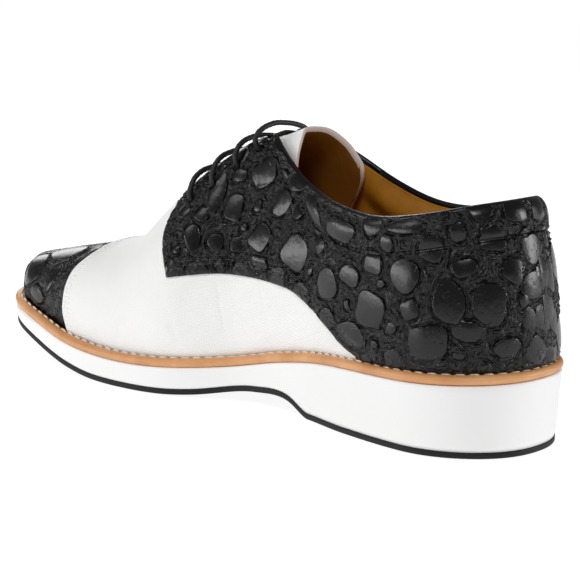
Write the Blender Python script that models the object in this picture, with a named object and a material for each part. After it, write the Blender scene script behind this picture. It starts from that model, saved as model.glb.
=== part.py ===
"""A right lace-up shoe: a hollow upper on a last's shape, with quarters, tongue, laces, welt and wedge sole.

Sizes are in millimetres in the tables and become metres when a mesh is made.
+Y points to the toe, -X to the medial (inner) side, +X to the lateral side and +Z up.
A share is a place along the foot: 0 at the back of the heel and 1 at the toe.
A rise is a place up the wall: 0 at the welt and 1 on the ridge of the last.
"""
from collections import namedtuple

import bmesh
import bpy
import numpy as np

# Driving dimensions
LENGTH = 302.0
WELT_THICKNESS = 4.0
OUTSOLE_THICKNESS = 2.6
INSOLE_THICKNESS = 3.0
UPPER_WALL = 2.0
QUARTER_THICKNESS = 1.4
TONGUE_THICKNESS = 2.4
LACE_RADIUS = 1.3
GAP = 0.3
QUARTER_GAP = 0.5
TONGUE_GAP = 0.9
TINY = 0.000001
MERGE_DISTANCE = 0.01

# Where the shoe's parts begin and end, as shares of its length
HEEL_CENTRE = 0.13
THROAT_TOP = 0.470
THROAT_ROUND = 0.600
THROAT_FOOT = 0.650
TONGUE_TOP = 0.424
TONGUE_FOOT = 0.680
TONGUE_WINGS = 0.040

# The tongue's half width, as a part of the rise from the ridge down the wall
TONGUE_TOP_HALF_WIDTH = 0.60
TONGUE_FOOT_HALF_WIDTH = 0.34

MEDIAL = -1
LATERAL = 1

# The sole's outline: reach from its axis to each side
Outline = namedtuple("Outline", "share medial lateral")
OUTLINE = (
    Outline(0.00, 37.0, 37.0),
    Outline(0.13, 39.4, 38.5),
    Outline(0.25, 34.8, 36.5),
    Outline(0.36, 26.7, 36.0),
    Outline(0.48, 26.2, 43.0),
    Outline(0.60, 40.7, 53.5),
    Outline(0.70, 42.4, 57.5),
    Outline(0.80, 39.4, 55.0),
    Outline(0.90, 36.5, 49.0),
    Outline(1.00, 38.6, 45.0),
)
AXIS_SWING = -12.5
AXIS_SWING_START = 0.50
INSET_CHANGE_START = 0.10
INSET_CHANGE_END = 0.50
HEEL_ROUND = 43.0
HEEL_ROUND_POWER = 2.23
TOE_ROUND = 76.5
TOE_ROUND_POWER = 2.15

# Heights of the seat, the wedge's top, on which the welt, the insole and the upper stand
Seat = namedtuple("Seat", "share height")
SEAT = (
    Seat(0.00, 30.6),
    Seat(0.15, 29.0),
    Seat(0.30, 26.6),
    Seat(0.40, 21.7),
    Seat(0.50, 15.4),
    Seat(0.60, 12.7),
    Seat(0.70, 12.1),
    Seat(0.80, 14.6),
    Seat(0.90, 21.1),
    Seat(1.00, 27.7),
)

# Heights of the underside: flat heel, curved breast, arch, flat tread and toe spring
Underside = namedtuple("Underside", "share height")
UNDERSIDE = (
    Underside(0.00, 0.0),
    Underside(0.30, 0.0),
    Underside(0.34, 0.2),
    Underside(0.38, 5.4),
    Underside(0.45, 5.7),
    Underside(0.55, 1.1),
    Underside(0.65, 0.0),
    Underside(0.75, 0.0),
    Underside(0.85, 6.5),
    Underside(0.93, 13.4),
    Underside(1.00, 19.0),
)
BREAST_BACK = 0.32
BREAST_FRONT = 0.41
UNDERSIDE_HEEL_INSET = 1.8
UNDERSIDE_TOE_INSET = 0.4

# Sections of the last: ridge height, roundness, ridge shift sideways, and how far each side swells
Section = namedtuple("Section", "share ridge power shift medial_swell lateral_swell")
SECTIONS = (
    Section(0.00, 150.0, 3.00, 0.0, 0.6, 0.6),
    Section(0.13, 150.0, 3.00, 0.0, 1.2, 1.2),
    Section(0.25, 143.0, 2.90, 1.0, 2.5, 2.0),
    Section(0.36, 132.0, 2.50, 2.0, 4.5, 2.0),
    Section(0.455, 121.5, 2.20, 1.5, 6.0, 1.5),
    Section(0.52, 114.5, 2.05, -0.5, 5.0, 1.0),
    Section(0.60, 99.0, 2.00, -3.0, 3.0, 1.0),
    Section(0.66, 83.5, 2.05, -4.5, 2.0, 1.0),
    Section(0.71, 69.3, 2.10, -4.5, 1.5, 1.0),
    Section(0.76, 63.2, 2.20, -4.0, 1.0, 1.0),
    Section(0.83, 58.3, 2.30, -2.5, 1.0, 1.0),
    Section(0.90, 54.0, 2.35, -1.0, 1.0, 1.0),
    Section(0.96, 50.5, 2.40, 0.0, 1.0, 1.0),
    Section(1.00, 49.0, 2.40, 0.0, 1.0, 1.0),
)
FEATHER_HEEL_INSET = 3.0
FEATHER_TOE_INSET = 4.6
TOE_FRONT = 15.0
TOE_FRONT_POWER = 3.2
SWELL_HEIGHT = 75.0
SWELL_POWER = 0.6
HEEL_LEAN = 7.0
HEEL_LEAN_HEIGHT = 64.5
HEEL_LEAN_POWER = 1.8
HEEL_LEAN_END = 0.32
RIDGE_SHIFT_FADE = 0.05

# Heights of the collar's edge from the centre back to the top of the throat
Collar = namedtuple("Collar", "share medial lateral")
COLLAR = (
    Collar(0.00, 101.6, 101.6),
    Collar(0.04, 100.0, 99.6),
    Collar(0.12, 96.0, 94.4),
    Collar(0.20, 93.0, 90.4),
    Collar(0.27, 94.9, 92.1),
    Collar(0.33, 98.4, 98.9),
    Collar(0.38, 103.4, 107.2),
    Collar(0.43, 112.0, 115.0),
    Collar(0.47, 119.2, 119.5),
)
# The facing's edge: how far it lies from the ridge, from the top of the throat to its rounded foot
Facing = namedtuple("Facing", "share half_gap")
FACING = (
    Facing(0.470, 5.0),
    Facing(0.500, 5.5),
    Facing(0.530, 7.0),
    Facing(0.560, 9.0),
    Facing(0.590, 10.5),
    Facing(0.618, 12.5),
)

# The quarter's lower edge, from where it leaves the welt up to its front corner
LowerEdge = namedtuple("LowerEdge", "share height")
LOWER_EDGE = (
    LowerEdge(0.226, 34.2),
    LowerEdge(0.246, 36.4),
    LowerEdge(0.280, 42.4),
    LowerEdge(0.324, 49.7),
    LowerEdge(0.367, 54.8),
    LowerEdge(0.415, 56.7),
    LowerEdge(0.473, 57.3),
    LowerEdge(0.521, 56.9),
    LowerEdge(0.565, 55.1),
    LowerEdge(0.598, 53.3),
)
FACING_OVERHANG = 1.5
QUARTER_FRONT_BOW = 0.018
QUARTER_FOOT = 0.6
BACK_SEAM = 0.4

# The lace's bars: where each one crosses, and how far down the wall its eyelets are
LaceBar = namedtuple("LaceBar", "share rise")
LACE_BARS = (
    LaceBar(0.486, 0.74),
    LaceBar(0.520, 0.68),
    LaceBar(0.555, 0.63),
    LaceBar(0.591, 0.62),
)

# How many steps each form takes
HEEL_STEPS = 7
COLLAR_STEPS = 9
THROAT_STEPS = 9
FOREPART_STEPS = 13
BREAST_STEPS = 4
WALL_STEPS = 9
QUARTER_STEPS = 8
TONGUE_STEPS_LONG = 12
TONGUE_STEPS_WIDE = 5
LACE_STEPS = 4


def column(table, name, share):
    """Smooth curve through one named column of a table, read at the given shares."""
    at = np.array([row.share for row in table])
    value = np.array([getattr(row, name) for row in table])
    share = np.asarray(share, float)
    slope = np.gradient(value, at)
    low = np.clip(np.searchsorted(at, share, side="right") - 1, 0, len(at) - 2)
    span = at[low + 1] - at[low]
    t = (share - at[low]) / span
    start = (2 * t ** 3 - 3 * t ** 2 + 1) * value[low] + (t ** 3 - 2 * t ** 2 + t) * span * slope[low]
    end = (3 * t ** 2 - 2 * t ** 3) * value[low + 1] + (t ** 3 - t ** 2) * span * slope[low + 1]
    return start + end


def side_name(side):
    return "medial" if side == MEDIAL else "lateral"


def axis(share):
    """The foot's axis swings to the medial side towards the toe."""
    swung = np.clip((share - AXIS_SWING_START) / (1 - AXIS_SWING_START), 0, None)
    return AXIS_SWING * swung ** 2


def outline(side, share, heel_inset, toe_inset):
    """A point of the sole's outline on one side, drawn in by an inset that changes at the waist."""
    share = np.asarray(share, float)
    along = share * LENGTH
    change = np.clip((share - INSET_CHANGE_START) / (INSET_CHANGE_END - INSET_CHANGE_START), 0, 1)
    inset = heel_inset + (toe_inset - heel_inset) * change
    at_heel = np.clip((HEEL_ROUND - along) / HEEL_ROUND, 0, 1)
    at_toe = np.clip((along - (LENGTH - TOE_ROUND)) / TOE_ROUND, 0, 1)
    rounding = (1 - at_heel ** HEEL_ROUND_POWER) ** (1 / HEEL_ROUND_POWER)
    rounding = rounding * (1 - at_toe ** TOE_ROUND_POWER) ** (1 / TOE_ROUND_POWER)
    reach = (column(OUTLINE, side_name(side), share) - inset) * rounding
    across = axis(share) + side * reach
    return np.stack([across, heel_inset + share * (LENGTH - heel_inset - toe_inset)], -1)


def seat(share):
    return column(SEAT, "height", share)


def underside(share):
    return np.maximum(column(UNDERSIDE, "height", share), 0)


def toe_fall(share):
    """The ridge comes down over the front of the toe."""
    front = np.clip((share * LENGTH - (LENGTH - TOE_FRONT)) / TOE_FRONT, 0, 1)
    return (1 - front ** TOE_FRONT_POWER) ** (1 / TOE_FRONT_POWER)


def feather(share):
    """Height of the welt's top, where the wall of the upper starts to rise."""
    return seat(share) + GAP + WELT_THICKNESS


def wall_height(share):
    return (column(SECTIONS, "ridge", share) - feather(share)) * toe_fall(share)


def section_centre(share):
    """Sections stand across the foot, and fan round one centre at the heel."""
    held = np.maximum(share, HEEL_CENTRE)
    fade = np.clip(share / HEEL_CENTRE, 0, 1) * np.clip((1 - share) / RIDGE_SHIFT_FADE, 0, 1)
    across = axis(held) + column(SECTIONS, "shift", share) * fade
    along = FEATHER_HEEL_INSET + held * (LENGTH - FEATHER_HEEL_INSET - FEATHER_TOE_INSET)
    return np.stack([across, along], -1)


def last(side, share, rise):
    """A point on the outside of the upper."""
    share, rise = np.broadcast_arrays(np.asarray(share, float), np.asarray(rise, float))
    centre = section_centre(share)
    out = outline(side, share, FEATHER_HEEL_INSET, FEATHER_TOE_INSET) - centre
    reach = np.linalg.norm(out, axis=-1)
    direction = out / np.maximum(reach, TINY)[..., None]
    power = column(SECTIONS, "power", share)
    drawn_in = np.abs(np.cos(rise * np.pi / 2)) ** (2 / power)
    up = np.abs(np.sin(rise * np.pi / 2)) ** (2 / power) * wall_height(share)
    swell = column(SECTIONS, side_name(side) + "_swell", share) * toe_fall(share)
    swell = swell * np.sin(np.pi * np.clip(up / SWELL_HEIGHT, 0, 1) ** SWELL_POWER) * np.sqrt(drawn_in)
    behind = (1 + np.cos(np.pi * np.clip(share / HEEL_LEAN_END, 0, 1))) / 2
    lean = HEEL_LEAN * behind * (up / HEEL_LEAN_HEIGHT) ** HEEL_LEAN_POWER
    level = centre + direction * (reach * drawn_in + swell - lean)[..., None]
    return np.concatenate([level, (feather(share) + up)[..., None]], -1)


def outward(side, share, rise, step=0.001):
    """The direction that faces out of the upper at a point."""
    along = last(side, np.clip(share + step, 0, 1), rise) - last(side, np.clip(share - step, 0, 1), rise)
    upward = last(side, share, np.clip(rise + step, 0, 1)) - last(side, share, np.clip(rise - step, 0, 1))
    normal = np.cross(along, upward) * side
    return normal / np.linalg.norm(normal, axis=-1, keepdims=True)


def proud(side, share, rise, distance):
    """A point that stands off the upper's outside by a distance, inwards if it is negative."""
    share, rise = np.broadcast_arrays(np.asarray(share, float), np.asarray(rise, float))
    return last(side, share, rise) + distance * outward(side, share, rise)


def rise_at_height(share, height):
    up = np.clip((height - feather(share)) / np.maximum(wall_height(share), TINY), 0, 1)
    return np.arcsin(up ** (column(SECTIONS, "power", share) / 2)) * 2 / np.pi


def rise_at_gap(side, share, half_gap):
    out = outline(side, share, FEATHER_HEEL_INSET, FEATHER_TOE_INSET) - section_centre(share)
    drawn_in = np.clip(half_gap / np.maximum(np.linalg.norm(out, axis=-1), TINY), 0, 1)
    return np.arccos(drawn_in ** (column(SECTIONS, "power", share) / 2)) * 2 / np.pi


def collar_rise(side, share):
    return rise_at_height(share, column(COLLAR, side_name(side), np.minimum(share, THROAT_TOP)))


def upper_top_rise(side, share):
    """Where the upper ends: the collar's edge, then the throat with its round foot, then the vamp's ridge."""
    half_gap = column(FACING, "half_gap", np.clip(share, THROAT_TOP, THROAT_ROUND)) - FACING_OVERHANG
    foot = np.clip((share - THROAT_ROUND) / (THROAT_FOOT - THROAT_ROUND), 0, 1)
    throat = rise_at_gap(side, share, half_gap * np.sqrt(1 - foot ** 2))
    return np.where(share < THROAT_TOP, collar_rise(side, share), throat)


def quarter_top_rise(side, share):
    """Where the quarter ends: the collar's edge, then the edge of the facing."""
    facing = rise_at_gap(side, share, column(FACING, "half_gap", np.maximum(share, THROAT_TOP)))
    return np.where(share < THROAT_TOP, collar_rise(side, share), facing)


def quarter_foot_rise(share):
    """Where the quarter starts: on the welt at the back, then along its curved lower edge."""
    held = np.clip(share, LOWER_EDGE[0].share, LOWER_EDGE[-1].share)
    edge = np.maximum(column(LOWER_EDGE, "height", held), feather(share) + QUARTER_FOOT)
    height = np.where(share < LOWER_EDGE[0].share, feather(share) + QUARTER_FOOT, edge)
    return rise_at_height(share, height)


def steps(start, end, count, easing):
    return start + (end - start) * easing(np.linspace(0, np.pi / 2, count + 1))


def slow_start(turn):
    return 1 - np.cos(turn)


def back_to_throat(throat_foot):
    """Shares from the centre back to the top of the throat and down to its foot."""
    heel = steps(0, HEEL_CENTRE, HEEL_STEPS, slow_start)
    collar = steps(HEEL_CENTRE, THROAT_TOP, COLLAR_STEPS, np.sin)
    throat = steps(THROAT_TOP, throat_foot, THROAT_STEPS, np.sin)
    return np.concatenate([heel, collar[1:], throat[1:]])


def foot_shares():
    """Shares of the whole foot, which the upper, the welt and the insole have in common."""
    forepart = steps(THROAT_FOOT, 1, FOREPART_STEPS, np.sin)
    return np.concatenate([back_to_throat(THROAT_FOOT), forepart[1:]])


def sole_shares():
    """The foot's shares with closer ones along the curved breast of the heel."""
    breast = np.linspace(BREAST_BACK, BREAST_FRONT, BREAST_STEPS + 1)
    return np.union1d(foot_shares(), breast)


def centre_line():
    """The middle of the sole's width, which the part's frame is centred on."""
    shares = sole_shares()
    medial = outline(MEDIAL, shares, 0, 0)[:, 0].min()
    lateral = outline(LATERAL, shares, 0, 0)[:, 0].max()
    return (medial + lateral) / 2


FRAME_ORIGIN = np.array([centre_line(), LENGTH / 2, 0.0])


def to_frame(points):
    return (np.asarray(points) - FRAME_ORIGIN) / 1000


def finish(name, hex_colour, roughness):
    """A plain Principled material in an sRGB colour."""
    material = bpy.data.materials.new(name)
    material.use_nodes = True
    srgb = np.array([int(hex_colour[i:i + 2], 16) / 255 for i in (1, 3, 5)])
    linear = np.where(srgb <= 0.04045, srgb / 12.92, ((srgb + 0.055) / 1.055) ** 2.4)
    shader = material.node_tree.nodes["Principled BSDF"]
    shader.inputs["Base Color"].default_value = (*linear, 1.0)
    shader.inputs["Roughness"].default_value = roughness
    return material


def place(name, points, faces, material):
    """Make a mesh object, merging the points that fall together at ends and ridges."""
    mesh = bpy.data.meshes.new(name)
    mesh.from_pydata(to_frame(points).tolist(), [], faces)
    shape = bmesh.new()
    shape.from_mesh(mesh)
    bmesh.ops.remove_doubles(shape, verts=shape.verts, dist=MERGE_DISTANCE / 1000)
    shape.to_mesh(mesh)
    shape.free()
    mesh.shade_smooth()
    mesh.materials.append(material)
    shoe_object = bpy.data.objects.new(name, mesh)
    bpy.context.collection.objects.link(shoe_object)
    return shoe_object


def thicken(shoe_object, thickness, side):
    """Give a sheet its wall: side -1 grows it inwards and 1 outwards."""
    wall = shoe_object.modifiers.new("wall", "SOLIDIFY")
    wall.thickness = thickness / 1000
    wall.offset = side
    wall.use_even_offset = True
    wall.use_quality_normals = True


def grid_faces(rows, columns, first=0, flip=False):
    """Quads over a grid of points that is stored row after row."""
    faces = []
    for i in range(rows - 1):
        for j in range(columns - 1):
            corner = first + i * columns + j
            face = (corner, corner + columns, corner + columns + 1, corner + 1)
            faces.append(face[::-1] if flip else face)
    return faces


def ring(shares, heel_inset, toe_inset, heights):
    """One closed level of a sole piece: medial side to the toe, then the lateral side back."""
    medial = outline(MEDIAL, shares, heel_inset, toe_inset)
    lateral = outline(LATERAL, shares, heel_inset, toe_inset)
    up = heights[:, None]
    return np.concatenate([np.hstack([medial, up]), np.hstack([lateral, up])[::-1]])


def slab(name, shares, levels, material):
    """A sole piece between levels, each one an inset at heel and toe and a curve of heights."""
    rings = [ring(shares, heel, toe, height(shares)) for heel, toe, height in levels]
    count = len(rings[0])
    faces = []
    for level in range(len(rings) - 1):
        for i in range(count):
            following = (i + 1) % count
            low = level * count
            faces.append((low + following, low + i, low + count + i, low + count + following))
    top = (len(rings) - 1) * count
    for i in range(len(shares) - 1):
        faces.append((i, i + 1, count - 2 - i, count - 1 - i))
        faces.append((top + count - 1 - i, top + count - 2 - i, top + i + 1, top + i))
    return place(name, np.concatenate(rings), faces, material)


def make_outsole():
    def top(share):
        return underside(share) + OUTSOLE_THICKNESS

    levels = (
        (UNDERSIDE_HEEL_INSET, UNDERSIDE_TOE_INSET, underside),
        (UNDERSIDE_HEEL_INSET, UNDERSIDE_TOE_INSET, top),
    )
    return slab("outsole", sole_shares(), levels, finish("black_rubber", "#2E2E2E", 0.6))


def make_midsole():
    def bottom(share):
        return underside(share) + OUTSOLE_THICKNESS + GAP

    levels = ((UNDERSIDE_HEEL_INSET, UNDERSIDE_TOE_INSET, bottom), (0.0, 0.0, seat))
    return slab("midsole", sole_shares(), levels, finish("white_rubber", "#F0F0F0", 0.5))


def make_insole():
    def bottom(share):
        return seat(share) + GAP

    def top(share):
        return seat(share) + GAP + INSOLE_THICKNESS

    heel = FEATHER_HEEL_INSET + UPPER_WALL + 2 * GAP
    toe = FEATHER_TOE_INSET + UPPER_WALL + 2 * GAP
    levels = ((heel, toe, bottom), (heel, toe, top))
    return slab("insole", foot_shares(), levels, finish("tan_sock_leather", "#B9801F", 0.5))


def make_welt():
    """A strip bent round the shoe, round on its outer edge, close against the upper inside."""
    shares = foot_shares()
    inner_heel = FEATHER_HEEL_INSET - GAP
    inner_toe = FEATHER_TOE_INSET - GAP
    rounding = WELT_THICKNESS / 4
    low = seat(shares) + GAP
    profile = (
        (inner_heel, inner_toe, low),
        (rounding, rounding, low),
        (0.0, 0.0, low + rounding),
        (0.0, 0.0, low + WELT_THICKNESS - rounding),
        (rounding, rounding, low + WELT_THICKNESS),
        (inner_heel, inner_toe, low + WELT_THICKNESS),
    )
    rings = [ring(shares, heel, toe, height) for heel, toe, height in profile]
    count = len(rings[0])
    faces = []
    for level in range(len(rings)):
        this = level * count
        above = (level + 1) % len(rings) * count
        for i in range(count):
            following = (i + 1) % count
            faces.append((this + following, this + i, above + i, above + following))
    return place("welt", np.concatenate(rings), faces, finish("tan_welt_leather", "#D99A64", 0.5))


def make_upper():
    """One hollow wall from the seat to the collar, open at the mouth, the throat and underneath."""
    shares = foot_shares()
    climb = np.linspace(0, 1, WALL_STEPS + 1)
    points = []
    faces = []
    for side in (MEDIAL, LATERAL):
        rise = upper_top_rise(side, shares)[:, None] * climb[None, :]
        wall = last(side, shares[:, None], rise)
        hem = wall[:, :1].copy()
        hem[..., 2] = seat(shares)[:, None] + GAP
        sheet = np.concatenate([hem, wall], axis=1)
        faces += grid_faces(*sheet.shape[:2], first=len(points), flip=side == MEDIAL)
        points += sheet.reshape(-1, 3).tolist()
    upper = place("upper", points, faces, finish("white_woven_leather", "#F2F2F2", 0.5))
    thicken(upper, UPPER_WALL, -1)
    return upper


def make_quarter(side):
    """The leather over the back of the upper, from the back seam to the facing's front edge."""
    high = back_to_throat(FACING[-1].share)
    forward = np.clip((high - THROAT_TOP) / (FACING[-1].share - THROAT_TOP), 0, 1)
    low = np.where(high < THROAT_TOP, high, THROAT_TOP + forward * (LOWER_EDGE[-1].share - THROAT_TOP))
    climb = np.linspace(0, 1, QUARTER_STEPS + 1)
    share = low[:, None] + (high - low)[:, None] * climb
    share = share + QUARTER_FRONT_BOW * forward[:, None] ** 3 * np.sin(np.pi * climb)
    foot = quarter_foot_rise(low)
    head = quarter_top_rise(side, high)
    rise = foot[:, None] + (head - foot)[:, None] * climb
    sheet = proud(side, share, rise, QUARTER_GAP)
    sheet[0, :, 0] = side * BACK_SEAM / 2
    faces = grid_faces(*sheet.shape[:2], flip=side == MEDIAL)
    leather = finish("black_embossed_leather_" + side_name(side), "#1B1B1C", 0.35)
    quarter = place("quarter_" + side_name(side), sheet.reshape(-1, 3), faces, leather)
    thicken(quarter, QUARTER_THICKNESS, 1)
    return quarter


def make_tongue():
    """A padded sheet under the facings that follows the instep, its top corners wrapping back."""
    half = np.linspace(0, 1, TONGUE_STEPS_WIDE + 1)
    distance = -(UPPER_WALL + TONGUE_GAP)
    rows = []
    for down in np.linspace(0, 1, TONGUE_STEPS_LONG + 1):
        wings = TONGUE_WINGS * half ** 2 * (1 - down) ** 2
        share = TONGUE_TOP + (TONGUE_FOOT - TONGUE_TOP) * down - wings
        half_width = TONGUE_TOP_HALF_WIDTH + (TONGUE_FOOT_HALF_WIDTH - TONGUE_TOP_HALF_WIDTH) * down
        rise = 1 - half_width * half
        medial = proud(MEDIAL, share, rise, distance)
        lateral = proud(LATERAL, share, rise, distance)
        rows.append(np.concatenate([medial[::-1], lateral[1:]]))
    sheet = np.array(rows)
    faces = grid_faces(*sheet.shape[:2], flip=True)
    tongue = place("tongue", sheet.reshape(-1, 3), faces, finish("white_tongue_leather", "#EDEAE6", 0.5))
    thicken(tongue, TONGUE_THICKNESS, -1)
    return tongue


def make_lace_bar(number, bar, material):
    """One bar of round lace: up from over an eyelet, straight across the throat and down to the other."""
    distance = QUARTER_GAP + QUARTER_THICKNESS + 2 * GAP + LACE_RADIUS
    half_gap = column(FACING, "half_gap", bar.share)
    halves = []
    for side in (MEDIAL, LATERAL):
        rise = np.linspace(bar.rise, rise_at_gap(side, bar.share, half_gap), LACE_STEPS + 1)
        halves.append(proud(side, bar.share, rise, distance))
    route = to_frame(np.concatenate([halves[0], halves[1][::-1]]))
    name = "lace_bar_%d" % number
    path = bpy.data.curves.new(name, "CURVE")
    path.dimensions = "3D"
    path.bevel_depth = LACE_RADIUS / 1000
    path.bevel_resolution = 2
    path.use_fill_caps = True
    spline = path.splines.new("POLY")
    spline.points.add(len(route) - 1)
    for point, position in zip(spline.points, route):
        point.co = (*position, 1.0)
    path.materials.append(material)
    lace = bpy.data.objects.new(name, path)
    bpy.context.collection.objects.link(lace)
    return lace


for old_object in list(bpy.data.objects):
    bpy.data.objects.remove(old_object, do_unlink=True)

make_outsole()
make_midsole()
make_insole()
make_welt()
make_upper()
make_quarter(MEDIAL)
make_quarter(LATERAL)
make_tongue()
waxed_cord = finish("black_waxed_cord", "#141414", 0.6)
for bar_number, lace_bar in enumerate(LACE_BARS, start=1):
    make_lace_bar(bar_number, lace_bar, waxed_cord)
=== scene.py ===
"""The looks of a right two-tone derby shoe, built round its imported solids.

Sizes are in millimetres in the shoe's own frame and become metres when a mesh is made.
+Y points to the toe, -X to the medial (inner) side, +X to the lateral side and +Z up.
A share is a place along the foot: 0 at the back of the heel and 1 at the toe.
A rise is a place up the wall: 0 at the welt and 1 on the ridge of the last.
"""
from collections import namedtuple

import bmesh
import bpy
import numpy as np
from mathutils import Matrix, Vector
from mathutils.kdtree import KDTree


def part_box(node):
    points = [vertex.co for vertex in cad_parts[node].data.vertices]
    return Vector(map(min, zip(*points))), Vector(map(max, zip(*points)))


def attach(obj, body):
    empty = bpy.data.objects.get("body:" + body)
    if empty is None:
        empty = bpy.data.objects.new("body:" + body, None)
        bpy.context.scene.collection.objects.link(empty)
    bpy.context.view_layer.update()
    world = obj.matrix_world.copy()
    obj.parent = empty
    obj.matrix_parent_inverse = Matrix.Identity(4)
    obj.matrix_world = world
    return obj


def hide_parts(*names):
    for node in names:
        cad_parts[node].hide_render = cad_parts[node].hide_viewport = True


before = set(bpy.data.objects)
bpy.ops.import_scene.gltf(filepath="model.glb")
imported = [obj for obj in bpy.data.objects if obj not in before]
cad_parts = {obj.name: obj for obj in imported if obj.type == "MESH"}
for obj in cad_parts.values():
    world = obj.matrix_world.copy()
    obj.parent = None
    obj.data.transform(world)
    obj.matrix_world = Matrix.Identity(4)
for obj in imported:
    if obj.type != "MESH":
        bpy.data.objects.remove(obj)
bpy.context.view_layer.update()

# Outsole
# A thin sheet of black rubber under the whole shoe, cut to the sole's outline and cemented to the wedge.
# It follows the heel, its curved breast, the arch and the toe spring, with shallow ribs moulded across it.
MEDIAL = -1
LATERAL = 1
SIDE_NAME = {MEDIAL: "medial", LATERAL: "lateral"}
LENGTH = 1000 * (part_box("midsole")[1].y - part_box("midsole")[0].y)
SOLE_OUTLINE = {
    "share": (0.00, 0.13, 0.25, 0.36, 0.48, 0.60, 0.70, 0.80, 0.90, 1.00),
    "medial": (37.0, 39.4, 34.8, 26.7, 26.2, 40.7, 42.4, 39.4, 36.5, 38.6),
    "lateral": (37.0, 38.5, 36.5, 36.0, 43.0, 53.5, 57.5, 55.0, 49.0, 45.0),
}
AXIS_SWING = -12.5
AXIS_SWING_START = 0.50
INSET_CHANGE_START = 0.10
INSET_CHANGE_END = 0.50
HEEL_ROUND = 43.0
HEEL_ROUND_POWER = 2.23
TOE_ROUND = 76.5
TOE_ROUND_POWER = 2.15
UNDERSIDE = {
    "share": (0.00, 0.30, 0.34, 0.38, 0.45, 0.55, 0.65, 0.70, 0.75, 0.80, 0.85, 0.93, 1.00),
    "height": (0.0, 0.0, 0.2, 5.4, 5.7, 1.1, 0.0, 0.1, 0.9, 3.2, 6.7, 13.4, 19.0),
}
UNDERSIDE_HEEL_INSET = 1.8
UNDERSIDE_TOE_INSET = 0.4
OUTSOLE_THICKNESS = 2.6
OUTSOLE_EDGE = 0.5
RIB_PITCH = 5.0
RIB_GROOVE = 1.4
RIB_DEPTH = 0.7
RIB_RIM = 7.0
HEEL_END = 0.13
TOE_START = 0.78
OUTSOLE_STEPS = (22, 400, 40)
TREAD_COLUMNS = 13
MERGE_METRES = 0.00001


def along(table, column, share):
    """A smooth curve through one column of a table, read at the given shares."""
    at = np.array(table["share"])
    value = np.array(table[column])
    share = np.asarray(share, float)
    slope = np.gradient(value, at)
    low = np.clip(np.searchsorted(at, share, side="right") - 1, 0, len(at) - 2)
    span = at[low + 1] - at[low]
    t = (share - at[low]) / span
    start = (2 * t ** 3 - 3 * t ** 2 + 1) * value[low] + (t ** 3 - 2 * t ** 2 + t) * span * slope[low]
    end = (3 * t ** 2 - 2 * t ** 3) * value[low + 1] + (t ** 3 - t ** 2) * span * slope[low + 1]
    return start + end


def foot_axis(share):
    """The foot's axis swings to the medial side towards the toe."""
    swung = np.clip((share - AXIS_SWING_START) / (1 - AXIS_SWING_START), 0, None)
    return AXIS_SWING * swung ** 2


def sole_edge(side, share, heel_inset=0.0, toe_inset=0.0):
    """A point of the sole's outline on one side, drawn in by an inset that changes at the waist."""
    share = np.asarray(share, float)
    forward = share * LENGTH
    change = np.clip((share - INSET_CHANGE_START) / (INSET_CHANGE_END - INSET_CHANGE_START), 0, 1)
    inset = heel_inset + (toe_inset - heel_inset) * change
    at_heel = np.clip((HEEL_ROUND - forward) / HEEL_ROUND, 0, 1)
    at_toe = np.clip((forward - (LENGTH - TOE_ROUND)) / TOE_ROUND, 0, 1)
    rounding = (1 - at_heel ** HEEL_ROUND_POWER) ** (1 / HEEL_ROUND_POWER)
    rounding = rounding * (1 - at_toe ** TOE_ROUND_POWER) ** (1 / TOE_ROUND_POWER)
    reach = (along(SOLE_OUTLINE, SIDE_NAME[side], share) - inset) * rounding
    across = foot_axis(share) + side * reach
    return np.stack([across, heel_inset + share * (LENGTH - heel_inset - toe_inset)], -1)


def underside(share):
    """Height of the tread above the floor."""
    return np.maximum(along(UNDERSIDE, "height", share), 0)


def foot_shares(heel_steps, middle_steps, toe_steps):
    """Shares of the whole foot, closer together round the heel and the toe."""
    heel = HEEL_END * (1 - np.cos(np.linspace(0, np.pi / 2, heel_steps + 1)))
    middle = np.linspace(HEEL_END, TOE_START, middle_steps + 1)
    toe = TOE_START + (1 - TOE_START) * np.sin(np.linspace(0, np.pi / 2, toe_steps + 1))
    return np.concatenate([heel, middle[1:], toe[1:]])


every_share = np.linspace(0, 1, 2001)
widest = [sole_edge(MEDIAL, every_share)[:, 0].min(), sole_edge(LATERAL, every_share)[:, 0].max()]
SHOE_ORIGIN = np.array([sum(widest) / 2, LENGTH / 2, 0.0])


def to_frame(points):
    """Points in millimetres from the back of the heel as metres in the part's frame."""
    return (np.asarray(points, float) - SHOE_ORIGIN) / 1000


def sole_level(shares, heel_inset, toe_inset, heights):
    """One closed level of a sole piece: the medial edge to the toe, then the lateral edge back."""
    medial = np.column_stack([sole_edge(MEDIAL, shares, heel_inset, toe_inset), heights])
    lateral = np.column_stack([sole_edge(LATERAL, shares, heel_inset, toe_inset), heights])
    return np.concatenate([medial, lateral[::-1]])


def loft(levels, closed=False):
    """Faces between levels, from the lowest up; a closed loft also joins the last level to the first."""
    count = len(levels[0])
    faces = []
    for level in range(len(levels) if closed else len(levels) - 1):
        low = level * count
        high = (level + 1) % len(levels) * count
        for i in range(count):
            following = (i + 1) % count
            faces.append((low + following, low + i, high + i, high + following))
    return faces


def lid(first, count, facing_up):
    """Faces across a level, from its medial edge to its lateral edge."""
    faces = []
    for i in range(count // 2 - 1):
        face = (first + i, first + i + 1, first + count - 2 - i, first + count - 1 - i)
        faces.append(face[::-1] if facing_up else face)
    return faces


def grid_faces(rows, columns, first=0, flip=False):
    """Quads over a grid of points that is stored row after row."""
    faces = []
    for i in range(rows - 1):
        for j in range(columns - 1):
            corner = first + i * columns + j
            face = (corner, corner + columns, corner + columns + 1, corner + 1)
            faces.append(face[::-1] if flip else face)
    return faces


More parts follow.
